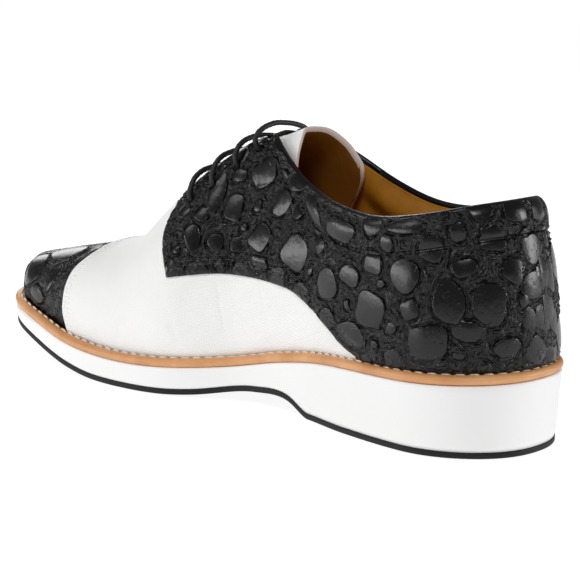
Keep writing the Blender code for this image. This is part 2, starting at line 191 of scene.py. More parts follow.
def make_piece(name, points, faces, material, replaced=(), marks=None):
    """A smooth mesh piece that rides on the shoe, with the points that fall together merged.

    Marks are named values at the points, which the material reads.
    """
    mesh = bpy.data.meshes.new(name)
    mesh.from_pydata(to_frame(points).tolist(), [], faces)
    for mark, values in (marks or {}).items():
        stored = mesh.attributes.new(mark, "FLOAT", "POINT")
        stored.data.foreach_set("value", np.asarray(values, np.float32))
    shape = bmesh.new()
    shape.from_mesh(mesh)
    bmesh.ops.remove_doubles(shape, verts=shape.verts, dist=MERGE_METRES)
    shape.to_mesh(mesh)
    shape.free()
    mesh.shade_smooth()
    mesh.materials.append(material)
    piece = bpy.data.objects.new(name, mesh)
    bpy.context.collection.objects.link(piece)
    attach(piece, "root")
    if replaced:
        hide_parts(*replaced)
    return piece


def linear(hex_colour):
    """An sRGB hex colour as linear red, green, blue and alpha."""
    srgb = np.array([int(hex_colour[i:i + 2], 16) / 255 for i in (1, 3, 5)])
    return (*np.where(srgb <= 0.04045, srgb / 12.92, ((srgb + 0.055) / 1.055) ** 2.4), 1.0)


def add_node(material, kind, settings=None, inputs=None):
    """Add one shader node; an input is a value, or the output of another node to link."""
    node = material.node_tree.nodes.new(kind)
    for name, value in (settings or {}).items():
        setattr(node, name, value)
    for key, value in (inputs or {}).items():
        if isinstance(value, bpy.types.NodeSocket):
            material.node_tree.links.new(value, node.inputs[key])
        else:
            node.inputs[key].default_value = value
    return node


def new_material(name):
    """A material with an empty node tree."""
    material = bpy.data.materials.new(name)
    material.use_nodes = True
    material.node_tree.nodes.clear()
    return material


def per_metre(millimetres):
    """A texture's scale for a pattern that repeats at a size in millimetres."""
    return 1000 / millimetres


# Calendered black rubber: a dull dark grey with the faint pebble of the roller and a soft, broad shine
calendered_rubber = new_material("calendered_black_rubber")
place = add_node(calendered_rubber, "ShaderNodeTexCoord")
pebble = add_node(calendered_rubber, "ShaderNodeTexNoise", inputs={
    "Vector": place.outputs["Object"], "Scale": per_metre(0.8), "Detail": 3.0})
bump = add_node(calendered_rubber, "ShaderNodeBump", inputs={
    "Height": pebble.outputs["Fac"], "Strength": 0.25, "Distance": 0.0002})
shader = add_node(calendered_rubber, "ShaderNodeBsdfPrincipled", inputs={
    "Base Color": linear("#171718"), "Roughness": 0.6, "Specular IOR Level": 0.3,
    "Normal": bump.outputs["Normal"]})
add_node(calendered_rubber, "ShaderNodeOutputMaterial", inputs={"Surface": shader.outputs["BSDF"]})

sole_shares = foot_shares(*OUTSOLE_STEPS)
ground = underside(sole_shares)
# Insets and heights of the sheet's wall, with its lower and upper edges eased
edge_levels = (
    (OUTSOLE_EDGE, 0.0),
    (OUTSOLE_EDGE * 0.3, OUTSOLE_EDGE * 0.3),
    (0.0, OUTSOLE_EDGE),
    (0.0, OUTSOLE_THICKNESS - OUTSOLE_EDGE * 0.4),
    (OUTSOLE_EDGE * 0.4, OUTSOLE_THICKNESS),
)
levels = []
for inset, height in edge_levels:
    heel_inset = UNDERSIDE_HEEL_INSET + inset
    toe_inset = UNDERSIDE_TOE_INSET + inset
    levels.append(sole_level(sole_shares, heel_inset, toe_inset, ground + height))
faces = loft(levels)
faces += lid((len(levels) - 1) * len(levels[0]), len(levels[0]), True)
across = np.linspace(0, 1, TREAD_COLUMNS)[None, :, None]
medial_line = levels[0][:len(sole_shares), None]
lateral_line = levels[0][len(sole_shares):][::-1, None]
tread = medial_line + (lateral_line - medial_line) * across
width = np.linalg.norm(lateral_line - medial_line, axis=-1)
from_rim = np.minimum(across[..., 0], 1 - across[..., 0]) * width
from_ends = np.minimum(sole_shares, 1 - sole_shares)[:, None] * LENGTH
in_groove = (sole_shares * LENGTH % RIB_PITCH < RIB_GROOVE)[:, None]
tread[..., 2] += RIB_DEPTH * in_groove * (np.minimum(from_rim, from_ends) > RIB_RIM)
points = np.concatenate(levels + [tread.reshape(-1, 3)])
faces += grid_faces(*tread.shape[:2], first=sum(map(len, levels)))
make_piece("outsole_sheet", points, faces, calendered_rubber, ["outsole"])

# Midsole
# A white wedge with the heel in one with it, moulded from light foamed rubber.
# Its wall leans out a little from the tread to the welt, and its edges are eased.
SEAT = {
    "share": (0.00, 0.15, 0.30, 0.40, 0.50, 0.60, 0.70, 0.80, 0.90, 1.00),
    "height": (30.6, 29.0, 26.6, 21.7, 15.4, 12.7, 12.1, 14.6, 21.1, 27.7),
}
GAP = 0.3
MIDSOLE_EASE = 0.9
MIDSOLE_STEPS = (24, 150, 44)
MIDSOLE_LEVELS = 9
MIDSOLE_FIRST_LEVEL = 0.06


def seat(share):
    """Height of the wedge's top, which the welt and the insole lie on."""
    return along(SEAT, "height", share)


# Moulded white rubber: a clean satin white, very slightly mottled, with the fine frost of the mould
moulded_rubber = new_material("moulded_white_rubber")
place = add_node(moulded_rubber, "ShaderNodeTexCoord")
frost = add_node(moulded_rubber, "ShaderNodeTexNoise", inputs={
    "Vector": place.outputs["Object"], "Scale": per_metre(0.7), "Detail": 4.0})
cloud = add_node(moulded_rubber, "ShaderNodeTexNoise", inputs={
    "Vector": place.outputs["Object"], "Scale": per_metre(45.0), "Detail": 2.0})
tint = add_node(moulded_rubber, "ShaderNodeMix", {"data_type": "RGBA"}, {
    "Factor": cloud.outputs["Fac"], 6: linear("#F0F0EF"), 7: linear("#F7F7F7")})
bump = add_node(moulded_rubber, "ShaderNodeBump", inputs={
    "Height": frost.outputs["Fac"], "Strength": 0.15, "Distance": 0.0001})
shader = add_node(moulded_rubber, "ShaderNodeBsdfPrincipled", inputs={
    "Base Color": tint.outputs[2], "Roughness": 0.45, "IOR": 1.5, "Normal": bump.outputs["Normal"]})
add_node(moulded_rubber, "ShaderNodeOutputMaterial", inputs={"Surface": shader.outputs["BSDF"]})

sole_shares = foot_shares(*MIDSOLE_STEPS)
bottom = underside(sole_shares) + OUTSOLE_THICKNESS + GAP / 3
top = seat(sole_shares)
wall = top - bottom
levels = [sole_level(sole_shares, UNDERSIDE_HEEL_INSET + GAP, UNDERSIDE_TOE_INSET + GAP, bottom)]
for climb in np.linspace(MIDSOLE_FIRST_LEVEL, 1, MIDSOLE_LEVELS):
    lean = 1 - climb
    eased = wall * climb - MIDSOLE_EASE * (climb == 1)
    heel_inset = UNDERSIDE_HEEL_INSET * lean
    toe_inset = UNDERSIDE_TOE_INSET * lean
    levels.append(sole_level(sole_shares, heel_inset, toe_inset, bottom + eased))
levels.append(sole_level(sole_shares, MIDSOLE_EASE * 0.3, MIDSOLE_EASE * 0.3, top - MIDSOLE_EASE * 0.3))
levels.append(sole_level(sole_shares, MIDSOLE_EASE, MIDSOLE_EASE, top))
faces = loft(levels) + lid(0, len(levels[0]), False)
faces += lid((len(levels) - 1) * len(levels[0]), len(levels[0]), True)
make_piece("midsole_wedge", np.concatenate(levels), faces, moulded_rubber, ["midsole"])

# Welt
# A thick strip of tan vegetable-tanned leather bent all round the shoe, rounded on its outer edge.
# It is sewn to the upper and the insole along its inner edge with heavy cream thread.
WELT_THICKNESS = 4.0
WELT_PROUD = 0.5
WELT_ROUND_STEPS = 11
FEATHER_HEEL_INSET = 3.0
FEATHER_TOE_INSET = 4.6
WELT_STITCH_PITCH = 5.6
WELT_STITCH_LENGTH = 4.9
WELT_THREAD_RADIUS = 0.45
WELT_STITCH_PLACE = 0.42
WELT_STITCH_SINK = 0.1
WELT_STITCH_SLANT = 0.4
STITCH_RISE = 1.2
STITCH_DIP = 0.6
STITCH_TIP = 0.35
STITCH_RINGS = 7
STITCH_SIDES = 8
TINY = 0.000001

# The welt's top, from its outer rounding in to the upper: reach, height and part of the stitch channel,
# whose darker colour is partly burnish and partly painted shade
WELT_TOP = ((0.2, 4.05, 0.0), (0.35, 3.95, 0.4), (0.6, 3.7, 1.0), (0.8, 3.65, 1.0), (1.0, 3.2, 1.0))

# Vegetable-tanned strip leather: warm tan, streaked along its length, and darker in the stitch channel,
# partly burnish and partly painted shade
strip_leather = new_material("vegetable_tanned_strip_leather")
place = add_node(strip_leather, "ShaderNodeTexCoord")
streak = add_node(strip_leather, "ShaderNodeTexNoise", inputs={
    "Vector": place.outputs["Object"], "Scale": per_metre(14.0), "Detail": 4.0})
tint = add_node(strip_leather, "ShaderNodeValToRGB", inputs={"Fac": streak.outputs["Fac"]})
tint.color_ramp.elements[0].position = 0.3
tint.color_ramp.elements[0].color = linear("#C98A55")
tint.color_ramp.elements[1].position = 0.7
tint.color_ramp.elements[1].color = linear("#DFA570")
# The channel mark darkens the tan: partly real burnish, partly painted shade in the groove by the stitches
channel_mark = add_node(strip_leather, "ShaderNodeAttribute", {"attribute_name": "channel"})
burnish_and_shade = add_node(strip_leather, "ShaderNodeMix", {"data_type": "RGBA"}, {
    "Factor": channel_mark.outputs["Fac"], 6: tint.outputs["Color"], 7: linear("#8A5526")})
pore = add_node(strip_leather, "ShaderNodeTexNoise", inputs={
    "Vector": place.outputs["Object"], "Scale": per_metre(0.6), "Detail": 3.0})
bump = add_node(strip_leather, "ShaderNodeBump", inputs={
    "Height": pore.outputs["Fac"], "Strength": 0.2, "Distance": 0.0002})
shader = add_node(strip_leather, "ShaderNodeBsdfPrincipled", inputs={
    "Base Color": burnish_and_shade.outputs[2], "Roughness": 0.45, "IOR": 1.5, "Normal": bump.outputs["Normal"]})
add_node(strip_leather, "ShaderNodeOutputMaterial", inputs={"Surface": shader.outputs["BSDF"]})

# Waxed linen thread: creamy and twisted, so each stitch has fine slanting plies
linen_thread = new_material("waxed_linen_thread")
place = add_node(linen_thread, "ShaderNodeTexCoord")
ply = add_node(linen_thread, "ShaderNodeTexNoise", inputs={
    "Vector": place.outputs["Object"], "Scale": per_metre(0.7), "Detail": 2.0})
tint = add_node(linen_thread, "ShaderNodeMix", {"data_type": "RGBA"}, {
    "Factor": ply.outputs["Fac"], 6: linear("#EAD0AA"), 7: linear("#F8EAD4")})
bump = add_node(linen_thread, "ShaderNodeBump", inputs={
    "Height": ply.outputs["Fac"], "Strength": 0.5, "Distance": 0.0002})
shader = add_node(linen_thread, "ShaderNodeBsdfPrincipled", inputs={
    "Base Color": tint.outputs[2], "Roughness": 0.6, "Normal": bump.outputs["Normal"]})
add_node(linen_thread, "ShaderNodeOutputMaterial", inputs={"Surface": shader.outputs["BSDF"]})

welt_inner_heel = FEATHER_HEEL_INSET - GAP / 2
welt_inner_toe = FEATHER_TOE_INSET - GAP / 2
welt_half = WELT_THICKNESS / 2
welt_round = welt_half - WELT_PROUD
low = seat(sole_shares) + GAP / 3


def welt_level(reach, height):
    """A level of the welt; reach is 0 where its outer rounding ends and 1 against the upper."""
    heel = welt_round + (welt_inner_heel - welt_round) * reach
    toe = welt_round + (welt_inner_toe - welt_round) * reach
    return sole_level(sole_shares, heel, toe, low + height)


levels = [welt_level(1.0, 0.0)]
for turn in np.linspace(-np.pi / 2, np.pi / 2, WELT_ROUND_STEPS):
    inset = welt_round - welt_half * np.cos(turn)
    levels.append(sole_level(sole_shares, inset, inset, low + welt_half * (1 + np.sin(turn))))
channel = [0.0] * len(levels)
for reach, height, depth in WELT_TOP:
    levels.append(welt_level(reach, height))
    channel.append(depth)
make_piece("welt_strip", np.concatenate(levels), loft(levels, closed=True), strip_leather,
           ["welt"], {"channel": np.repeat(channel, len(levels[0]))})


def travel(path):
    """Distances along a path at each of its points."""
    return np.concatenate([[0.0], np.cumsum(np.linalg.norm(np.diff(path, axis=0), axis=1))])


def unit(vectors):
    """The same vectors at a length of one."""
    return vectors / np.maximum(np.linalg.norm(vectors, axis=-1, keepdims=True), TINY)


def tube_faces(rings, around, first=0, flip=False):
    """Faces of a tube with closed ends, whose points are stored ring after ring.

    They face outwards where the rings turn right-handed about the path, and a flip is for the other way.
    """
    faces = []
    for i in range(rings - 1):
        low_corner = first + i * around
        for j in range(around):
            following = (j + 1) % around
            faces.append((low_corner + j, low_corner + following,
                          low_corner + around + following, low_corner + around + j))
    faces.append(tuple(range(first + around - 1, first - 1, -1)))
    faces.append(tuple(range(first + (rings - 1) * around, first + rings * around)))
    return [face[:1] + face[:0:-1] for face in faces] if flip else faces


def sew(name, path, outwards, pitch, length, radius, material, slant=0.0):
    """A row of stitches along a path: short rounded lengths of thread whose ends dip into their holes."""
    travelled = travel(path)
    count = max(int(travelled[-1] / pitch), 1)
    starts = np.arange(count) * travelled[-1] / count
    t = np.linspace(0, 1, STITCH_RINGS)
    at = np.clip(starts[:, None] + (pitch - length) / 2 + t * length, 0, travelled[-1])
    centre = np.stack([np.interp(at, travelled, path[:, k]) for k in range(3)], -1)
    normal = unit(np.stack([np.interp(at, travelled, outwards[:, k]) for k in range(3)], -1))
    forward = unit(np.gradient(centre, axis=1))
    aside = np.cross(forward, normal)
    arch = np.sin(np.pi * t)[:, None] ** 0.5
    lifted = normal * radius * (STITCH_RISE * arch - STITCH_DIP)
    centre = centre + lifted + aside * slant * (t - 0.5)[:, None]
    turn = np.linspace(0, 2 * np.pi, STITCH_SIDES, endpoint=False)
    thick = radius * (STITCH_TIP + (1 - STITCH_TIP) * arch)
    ring = normal[:, :, None] * np.cos(turn)[:, None] + aside[:, :, None] * np.sin(turn)[:, None]
    points = centre[:, :, None] + thick[:, None] * ring
    faces = []
    for stitch in range(count):
        faces += tube_faces(STITCH_RINGS, STITCH_SIDES, first=stitch * STITCH_RINGS * STITCH_SIDES)
    make_piece(name, points.reshape(-1, 3), faces, material)


stitch_line = welt_level(WELT_STITCH_PLACE, WELT_THICKNESS - WELT_STITCH_SINK)
stitch_line = np.concatenate([stitch_line, stitch_line[:1]])
upright = np.tile([0.0, 0.0, 1.0], (len(stitch_line), 1))
sew("welt_stitches", stitch_line, upright, WELT_STITCH_PITCH, WELT_STITCH_LENGTH, WELT_THREAD_RADIUS,
    linen_thread, slant=WELT_STITCH_SLANT)

# Insole sock
# A sock of thin tan leather over the insole board, pasted down, its edges cupped against the lining.
# Only its heel and waist show, down through the mouth of the shoe.
INSOLE_THICKNESS = 3.0
UPPER_WALL = 2.0
SOCK_CUP = 1.8
SOCK_CUP_POWER = 5
SOCK_STEPS = (16, 80, 24)
SOCK_COLUMNS = 21

# Tan lining leather: golden and smooth, clouded by the dye, with small pores and a low waxy shine
lining_leather = new_material("drum_dyed_lining_leather")
place = add_node(lining_leather, "ShaderNodeTexCoord")
cloud = add_node(lining_leather, "ShaderNodeTexNoise", inputs={
    "Vector": place.outputs["Object"], "Scale": per_metre(26.0), "Detail": 5.0, "Roughness": 0.6})
tint = add_node(lining_leather, "ShaderNodeValToRGB", inputs={"Fac": cloud.outputs["Fac"]})
tint.color_ramp.elements[0].position = 0.3
tint.color_ramp.elements[0].color = linear("#A66C12")
tint.color_ramp.elements[1].position = 0.72
tint.color_ramp.elements[1].color = linear("#D4942E")
pore = add_node(lining_leather, "ShaderNodeTexNoise", inputs={
    "Vector": place.outputs["Object"], "Scale": per_metre(0.9), "Detail": 4.0})
bump = add_node(lining_leather, "ShaderNodeBump", inputs={
    "Height": pore.outputs["Fac"], "Strength": 0.25, "Distance": 0.0002})
shader = add_node(lining_leather, "ShaderNodeBsdfPrincipled", inputs={
    "Base Color": tint.outputs["Color"], "Roughness": 0.5, "Specular IOR Level": 0.3,
    "Normal": bump.outputs["Normal"]})
add_node(lining_leather, "ShaderNodeOutputMaterial", inputs={"Surface": shader.outputs["BSDF"]})

sock_shares = foot_shares(*SOCK_STEPS)
sock_heel = FEATHER_HEEL_INSET + UPPER_WALL + 2 * GAP
sock_toe = FEATHER_TOE_INSET + UPPER_WALL + 2 * GAP
sock_floor = seat(sock_shares) + GAP
sock_edge = sole_level(sock_shares, sock_heel, sock_toe, sock_floor)
across = np.linspace(0, 1, SOCK_COLUMNS)[None, :, None]
medial_line = sock_edge[:len(sock_shares), None]
lateral_line = sock_edge[len(sock_shares):][::-1, None]
sock = medial_line + (lateral_line - medial_line) * across
sock[..., 2] += INSOLE_THICKNESS + SOCK_CUP * np.abs(2 * across[..., 0] - 1) ** SOCK_CUP_POWER
rim = np.concatenate([sock[:, 0], sock[::-1, -1]])
points = np.concatenate([sock_edge, rim, sock.reshape(-1, 3)])
faces = loft([sock_edge, rim]) + lid(0, len(sock_edge), False)
faces += grid_faces(*sock.shape[:2], first=len(sock_edge) + len(rim), flip=True)
make_piece("insole_sock", points, faces, lining_leather, ["insole"])

# Lining
# Thin tan leather that lines the whole inside, lasted with the upper and tucked under the sock.
# Round the mouth it is drawn over a soft pad, so it rolls inwards below the collar's edge.
SECTIONS = {
    "share": (0.00, 0.13, 0.25, 0.36, 0.455, 0.52, 0.60, 0.66, 0.71, 0.76, 0.83, 0.90, 0.96, 1.00),
    "ridge": (150.0, 150.0, 143.0, 132.0, 121.5, 114.5, 99.0, 83.5, 69.3, 63.2, 58.3, 54.0, 50.5, 49.0),
    "power": (3.0, 3.0, 2.9, 2.5, 2.2, 2.05, 2.0, 2.05, 2.1, 2.2, 2.3, 2.35, 2.4, 2.4),
    "shift": (0.0, 0.0, 1.0, 2.0, 1.5, -0.5, -3.0, -4.5, -4.5, -4.0, -2.5, -1.0, 0.0, 0.0),
    "medial_swell": (0.6, 1.2, 2.5, 4.5, 6.0, 5.0, 3.0, 2.0, 1.5, 1.0, 1.0, 1.0, 1.0, 1.0),
    "lateral_swell": (0.6, 1.2, 2.0, 2.0, 1.5, 1.0, 1.0, 1.0, 1.0, 1.0, 1.0, 1.0, 1.0, 1.0),
}
HEEL_CENTRE = 0.13
RIDGE_SHIFT_FADE = 0.05
TOE_FRONT = 15.0
TOE_FRONT_POWER = 3.2
SWELL_HEIGHT = 75.0
SWELL_POWER = 0.6
HEEL_LEAN = 7.0
HEEL_LEAN_HEIGHT = 64.5
HEEL_LEAN_POWER = 1.8
HEEL_LEAN_END = 0.32
COLLAR = {
    "share": (0.00, 0.04, 0.12, 0.20, 0.27, 0.33, 0.38, 0.43, 0.47),
    "medial": (101.6, 100.0, 96.0, 93.0, 94.9, 98.4, 103.4, 112.0, 119.2),
    "lateral": (101.6, 99.6, 94.4, 90.4, 92.1, 98.9, 107.2, 115.0, 119.5),
}
FACING = {
    "share": (0.470, 0.500, 0.530, 0.560, 0.590, 0.618),
    "half_gap": (5.0, 5.5, 7.0, 9.0, 10.5, 12.5),
}
THROAT_TOP = 0.470
THROAT_ROUND = 0.600
THROAT_FOOT = 0.650
LINING_THICKNESS = 0.8
LINING_BELOW_EDGE = 2.0
LINING_END = 0.95
LINING_CROWDING = 1.5
LINING_HEEL_STEPS = 26
LINING_STEPS = 110
LINING_COLUMNS = 49
LINING_THROAT_BACK = 4.0
LINING_BACK_ZONE = (0.55, 0.60)
LINING_THROAT_AHEAD = 0.02
LINING_AHEAD_ZONE = (0.58, 0.64)
ROLL_WIDTH = 21.0
ROLL_DEPTH = 3.6
ROLL_POWER = 1.4
ROLL_FADE = (0.34, 0.42)
HEM_DEPTH = 3.4
FRONT_FACE = 0
BACK_FACE = 1
CUT_FACE = 2
Sheet = namedtuple("Sheet", "front back flipped joined_rows joined_start")


def toe_fall(share):
    """The ridge comes down over the front of the toe."""
    front = np.clip((share * LENGTH - (LENGTH - TOE_FRONT)) / TOE_FRONT, 0, 1)
    return (1 - front ** TOE_FRONT_POWER) ** (1 / TOE_FRONT_POWER)


def feather(share):
    """Height of the welt's top, where the wall of the upper starts to rise."""
    return seat(share) + GAP + WELT_THICKNESS


def wall_height(share):
    """Height of the last's ridge above the welt."""
    return (along(SECTIONS, "ridge", share) - feather(share)) * toe_fall(share)


def section_centre(share):
    """Sections stand across the foot, and fan round one centre at the heel."""
    held = np.maximum(share, HEEL_CENTRE)
    fade = np.clip(share / HEEL_CENTRE, 0, 1) * np.clip((1 - share) / RIDGE_SHIFT_FADE, 0, 1)
    across = foot_axis(held) + along(SECTIONS, "shift", share) * fade
    forward = FEATHER_HEEL_INSET + held * (LENGTH - FEATHER_HEEL_INSET - FEATHER_TOE_INSET)
    return np.stack([across, forward], -1)


def last(side, share, rise):
    """A point on the outside of the upper, which has the shape of the last."""
    share, rise = np.broadcast_arrays(np.asarray(share, float), np.asarray(rise, float))
    centre = section_centre(share)
    out = sole_edge(side, share, FEATHER_HEEL_INSET, FEATHER_TOE_INSET) - centre
    reach = np.linalg.norm(out, axis=-1)
    direction = unit(out)
    power = along(SECTIONS, "power", share)
    drawn_in = np.abs(np.cos(rise * np.pi / 2)) ** (2 / power)
    up = np.abs(np.sin(rise * np.pi / 2)) ** (2 / power) * wall_height(share)
    swell = along(SECTIONS, SIDE_NAME[side] + "_swell", share) * toe_fall(share)
    swell = swell * np.sin(np.pi * np.clip(up / SWELL_HEIGHT, 0, 1) ** SWELL_POWER) * np.sqrt(drawn_in)
    behind = (1 + np.cos(np.pi * np.clip(share / HEEL_LEAN_END, 0, 1))) / 2
    lean = HEEL_LEAN * behind * (up / HEEL_LEAN_HEIGHT) ** HEEL_LEAN_POWER
    level = centre + direction * (reach * drawn_in + swell - lean)[..., None]
    return np.concatenate([level, (feather(share) + up)[..., None]], -1)


def rise_at_height(share, height):
    """The rise at which the wall reaches a height above the floor."""
    up = np.clip((height - feather(share)) / np.maximum(wall_height(share), TINY), 0, 1)
    return np.arcsin(up ** (along(SECTIONS, "power", share) / 2)) * 2 / np.pi


def rise_at_gap(side, share, half_gap):
    """The rise at which the wall is half a gap away from the ridge's line."""
    out = sole_edge(side, share, FEATHER_HEEL_INSET, FEATHER_TOE_INSET) - section_centre(share)
    drawn_in = np.clip(half_gap / np.maximum(np.linalg.norm(out, axis=-1), TINY), 0, 1)
    return np.arccos(drawn_in ** (along(SECTIONS, "power", share) / 2)) * 2 / np.pi


def collar_rise(side, share, below=0.0):
    """The rise of the collar's edge, or of a line below it."""
    return rise_at_height(share, along(COLLAR, SIDE_NAME[side], np.minimum(share, THROAT_TOP)) - below)


def facing_rise(side, share, back_from_edge=0.0):
    """Where the facing's edge lies; its round foot closes the throat in front."""
    half_gap = along(FACING, "half_gap", np.clip(share, THROAT_TOP, THROAT_ROUND)) + back_from_edge
    foot = np.clip((share - THROAT_ROUND) / (THROAT_FOOT - THROAT_ROUND), 0, 1)
    return rise_at_gap(side, share, half_gap * np.sqrt(1 - foot ** 2))


def outwards(grid, side):
    """Unit normals of a grid of points on one side, facing out of the shoe."""
    return unit(np.cross(np.gradient(grid, axis=0), np.gradient(grid, axis=1)) * side)


def ease(value, start, end):
    """A smooth step from 0 at start to 1 at end."""
    t = np.clip((value - start) / (end - start), 0, 1)
    return t * t * (3 - 2 * t)


def run_up(grid):
    """Distances up each row of a grid, from its first column."""
    steps = np.linalg.norm(np.diff(grid, axis=1), axis=-1)
    return np.concatenate([np.zeros((len(grid), 1)), np.cumsum(steps, axis=1)], axis=1)


def with_hem(sheet, share, depth=HEM_DEPTH):
    """A sheet with one more column in front, turned straight down behind the welt."""
    hem = sheet[:, :1].copy()
    hem[..., 2] = feather(share[:, :1]) - depth
    return np.concatenate([hem, sheet], axis=1)


def make_leather(name, sheets, material, replaced=(), step=1, marks=None):
    """A leather piece made of closed sheets, and the kind of each of its faces.

    The sides of two sheets can be joined, at the ends of some rows or along the whole start. The back keeps
    every so many of its rows and columns, because it is hidden. Marks are named values on each front grid.
    """
    points = []
    faces = []
    kinds = []
    marked = {mark: [] for mark in marks or {}}
    for k, (front, back, flipped, joined_rows, joined_start) in enumerate(sheets):
        rows, columns = front.shape[:2]
        back = back[::step, ::step]
        fine = len(points) + np.arange(rows * columns).reshape(rows, columns)
        first_behind = len(points) + rows * columns
        coarse = first_behind + np.arange(back.shape[0] * back.shape[1]).reshape(back.shape[:2])
        made = grid_faces(rows, columns, first=len(points))
        kinds += [FRONT_FACE] * len(made)
        hidden = grid_faces(*back.shape[:2], first=first_behind, flip=True)
        kinds += [BACK_FACE] * len(hidden)
        made += hidden
        apart = np.zeros(max(rows, columns), bool)
        top = apart if joined_rows is None else np.asarray(joined_rows)[::step][::-1]
        start = ~apart if joined_start else apart
        edges = (
            (fine[:, 0], coarse[:, 0], apart),
            (fine[-1, :], coarse[-1, :], apart),
            (fine[::-1, -1], coarse[::-1, -1], top),
            (fine[0, ::-1], coarse[0, ::-1], start),
        )
        for edge, edge_behind, joined in edges:
            for n in range(len(edge_behind) - 1):
                if not (joined[n] and joined[n + 1]):
                    chain = edge[n * step:(n + 1) * step + 1]
                    made.append((*chain[::-1].tolist(), int(edge_behind[n]), int(edge_behind[n + 1])))
                    kinds.append(CUT_FACE)
        faces += [face[::-1] for face in made] if flipped else made
        points += front.reshape(-1, 3).tolist() + back.reshape(-1, 3).tolist()
        for mark, grids in (marks or {}).items():
            marked[mark] += grids[k].ravel().tolist() + grids[k][::step, ::step].ravel().tolist()
    return make_piece(name, np.array(points), faces, material, replaced, marked), np.array(kinds)


def lining_sheet(side):
    """The lining's skin and its underside, which rows reach the ridge, and the shares."""
    heel = foot_shares(LINING_HEEL_STEPS, 1, 1)[:LINING_HEEL_STEPS + 1]
    share = np.concatenate([heel, np.linspace(HEEL_END, LINING_END, LINING_STEPS + 1)[1:]])
    collar_edge = collar_rise(side, share, LINING_BELOW_EDGE)
    back_from_edge = LINING_BELOW_EDGE + LINING_THROAT_BACK * ease(share, *LINING_BACK_ZONE)
    ahead = LINING_THROAT_AHEAD * ease(share, *LINING_AHEAD_ZONE)
    top = np.where(share < THROAT_TOP, collar_edge, facing_rise(side, share - ahead, back_from_edge))
    climb = 1 - (1 - np.linspace(0, 1, LINING_COLUMNS)) ** LINING_CROWDING
    share = np.repeat(share[:, None], len(climb), axis=1)
    wall = last(side, share, top[:, None] * climb)
    normal = outwards(wall, side)
    normal[0, :, 0] = 0
    below_edge = run_up(wall)[:, -1:] - run_up(wall)
    padded = 1 - ease(share, *ROLL_FADE)
    roll = ROLL_DEPTH * padded * np.sin(np.pi * np.clip(below_edge / ROLL_WIDTH, 0, 1)) ** ROLL_POWER
    skin = wall - normal * (UPPER_WALL + roll)[..., None]
    under = wall - normal * (UPPER_WALL - LINING_THICKNESS)
    skin[0, :, 0] = 0
    under[0, :, 0] = 0
    return skin, under, top > 1 - TINY, share


sheets = []
for side in (MEDIAL, LATERAL):
    skin, under, joined, share = lining_sheet(side)
    sheets.append(Sheet(with_hem(skin, share), with_hem(under, share), side == LATERAL, joined, True))
for medial, lateral in ((sheets[0].front, sheets[1].front), (sheets[0].back, sheets[1].back)):
    ridge = (medial[:, -1] + lateral[:, -1]) / 2
    medial[sheets[0].joined_rows, -1] = ridge[sheets[0].joined_rows]
    lateral[sheets[1].joined_rows, -1] = ridge[sheets[1].joined_rows]
make_leather("lining", sheets, lining_leather)

# Vamp
# White calf that covers the forepart, its grain pressed with a fine woven plate.
# Its front edge is sewn over the toe cap with two rows of white thread, and it creases softly by the welt.
VAMP_START = 0.19
VAMP_STAND = 0.25
VAMP_LIFT = 0.9
VAMP_LIFT_WIDTH = 11.0
VAMP_THICKNESS = 1.0
VAMP_THROAT_BACK = 1.5
VAMP_CORNER_BACK = 5.0
VAMP_CORNER_RUN = 0.035
VAMP_BELOW_COLLAR = 24.0
VAMP_EDGE_DROP = 0.3
VAMP_EDGE_ROUND = 0.8
VAMP_ROWS = 233
VAMP_COLUMNS = 108
GIRTH_STEPS = 60
BACK_STEP = 4
CAP_LINE = {
    "share": (-1.00, -0.90, -0.80, -0.66, -0.50, -0.35, -0.15, 0.00, 0.20, 0.45, 0.70, 0.88, 1.00),
    "place": (0.823, 0.833, 0.835, 0.835, 0.829, 0.813, 0.797, 0.790, 0.788, 0.797, 0.810, 0.813, 0.806),
}
WEAVE_PITCH = 1.1
SLUB_SIZE = 16.6667
CAP_STITCH_ROWS = (2.4, 4.4)
CAP_STITCH_PITCH = 2.2
CAP_STITCH_LENGTH = 1.7
CAP_STITCH_GROOVE = 0.22
CAP_STITCH_GROOVE_WIDTH = 0.5
FINE_THREAD_RADIUS = 0.22
CREASE_ENDS = 0.15

# A wave texture of scale 1 repeats every 0.314 units
WAVE_UNIT = 0.314


def cap_line(side, rise):
    """The share at which the vamp meets the toe cap; its table runs from the medial to the lateral welt."""
    return along(CAP_LINE, "place", side * (1 - rise))


# Creases of the vamp: each is a soft trough between two places on the wall, with its depth and half width
CREASES = (
    (MEDIAL, (0.500, 0.06), (0.515, 0.22), 0.42, 1.4),
    (MEDIAL, (0.415, 0.05), (0.440, 0.19), 0.45, 1.4),
    (MEDIAL, (0.575, 0.05), (0.590, 0.16), 0.35, 2.6),
    (MEDIAL, (0.700, 0.03), (0.680, 0.18), 0.35, 3.0),
    (LATERAL, (0.520, 0.05), (0.530, 0.20), 0.45, 2.6),
    (LATERAL, (0.600, 0.05), (0.590, 0.18), 0.40, 2.8),
)


def crease_depth(side, points):
    """How far the creases draw a surface in, with a low ridge along both sides of each trough."""
    depth = np.zeros(points.shape[:2])
    for crease_side, start, end, deep, half_width in CREASES:
        if crease_side == side:
            a = last(side, *start)
            b = last(side, *end)
            reach = b - a
            t = np.clip((points - a) @ reach / (reach @ reach), 0, 1)
            away = np.linalg.norm(points - a - t[..., None] * reach, axis=-1) / half_width
            faded = np.sin(np.pi * (CREASE_ENDS + (1 - 2 * CREASE_ENDS) * t))
            depth += deep * faded * (1 - away ** 2) * np.exp(-away ** 2)
    return depth


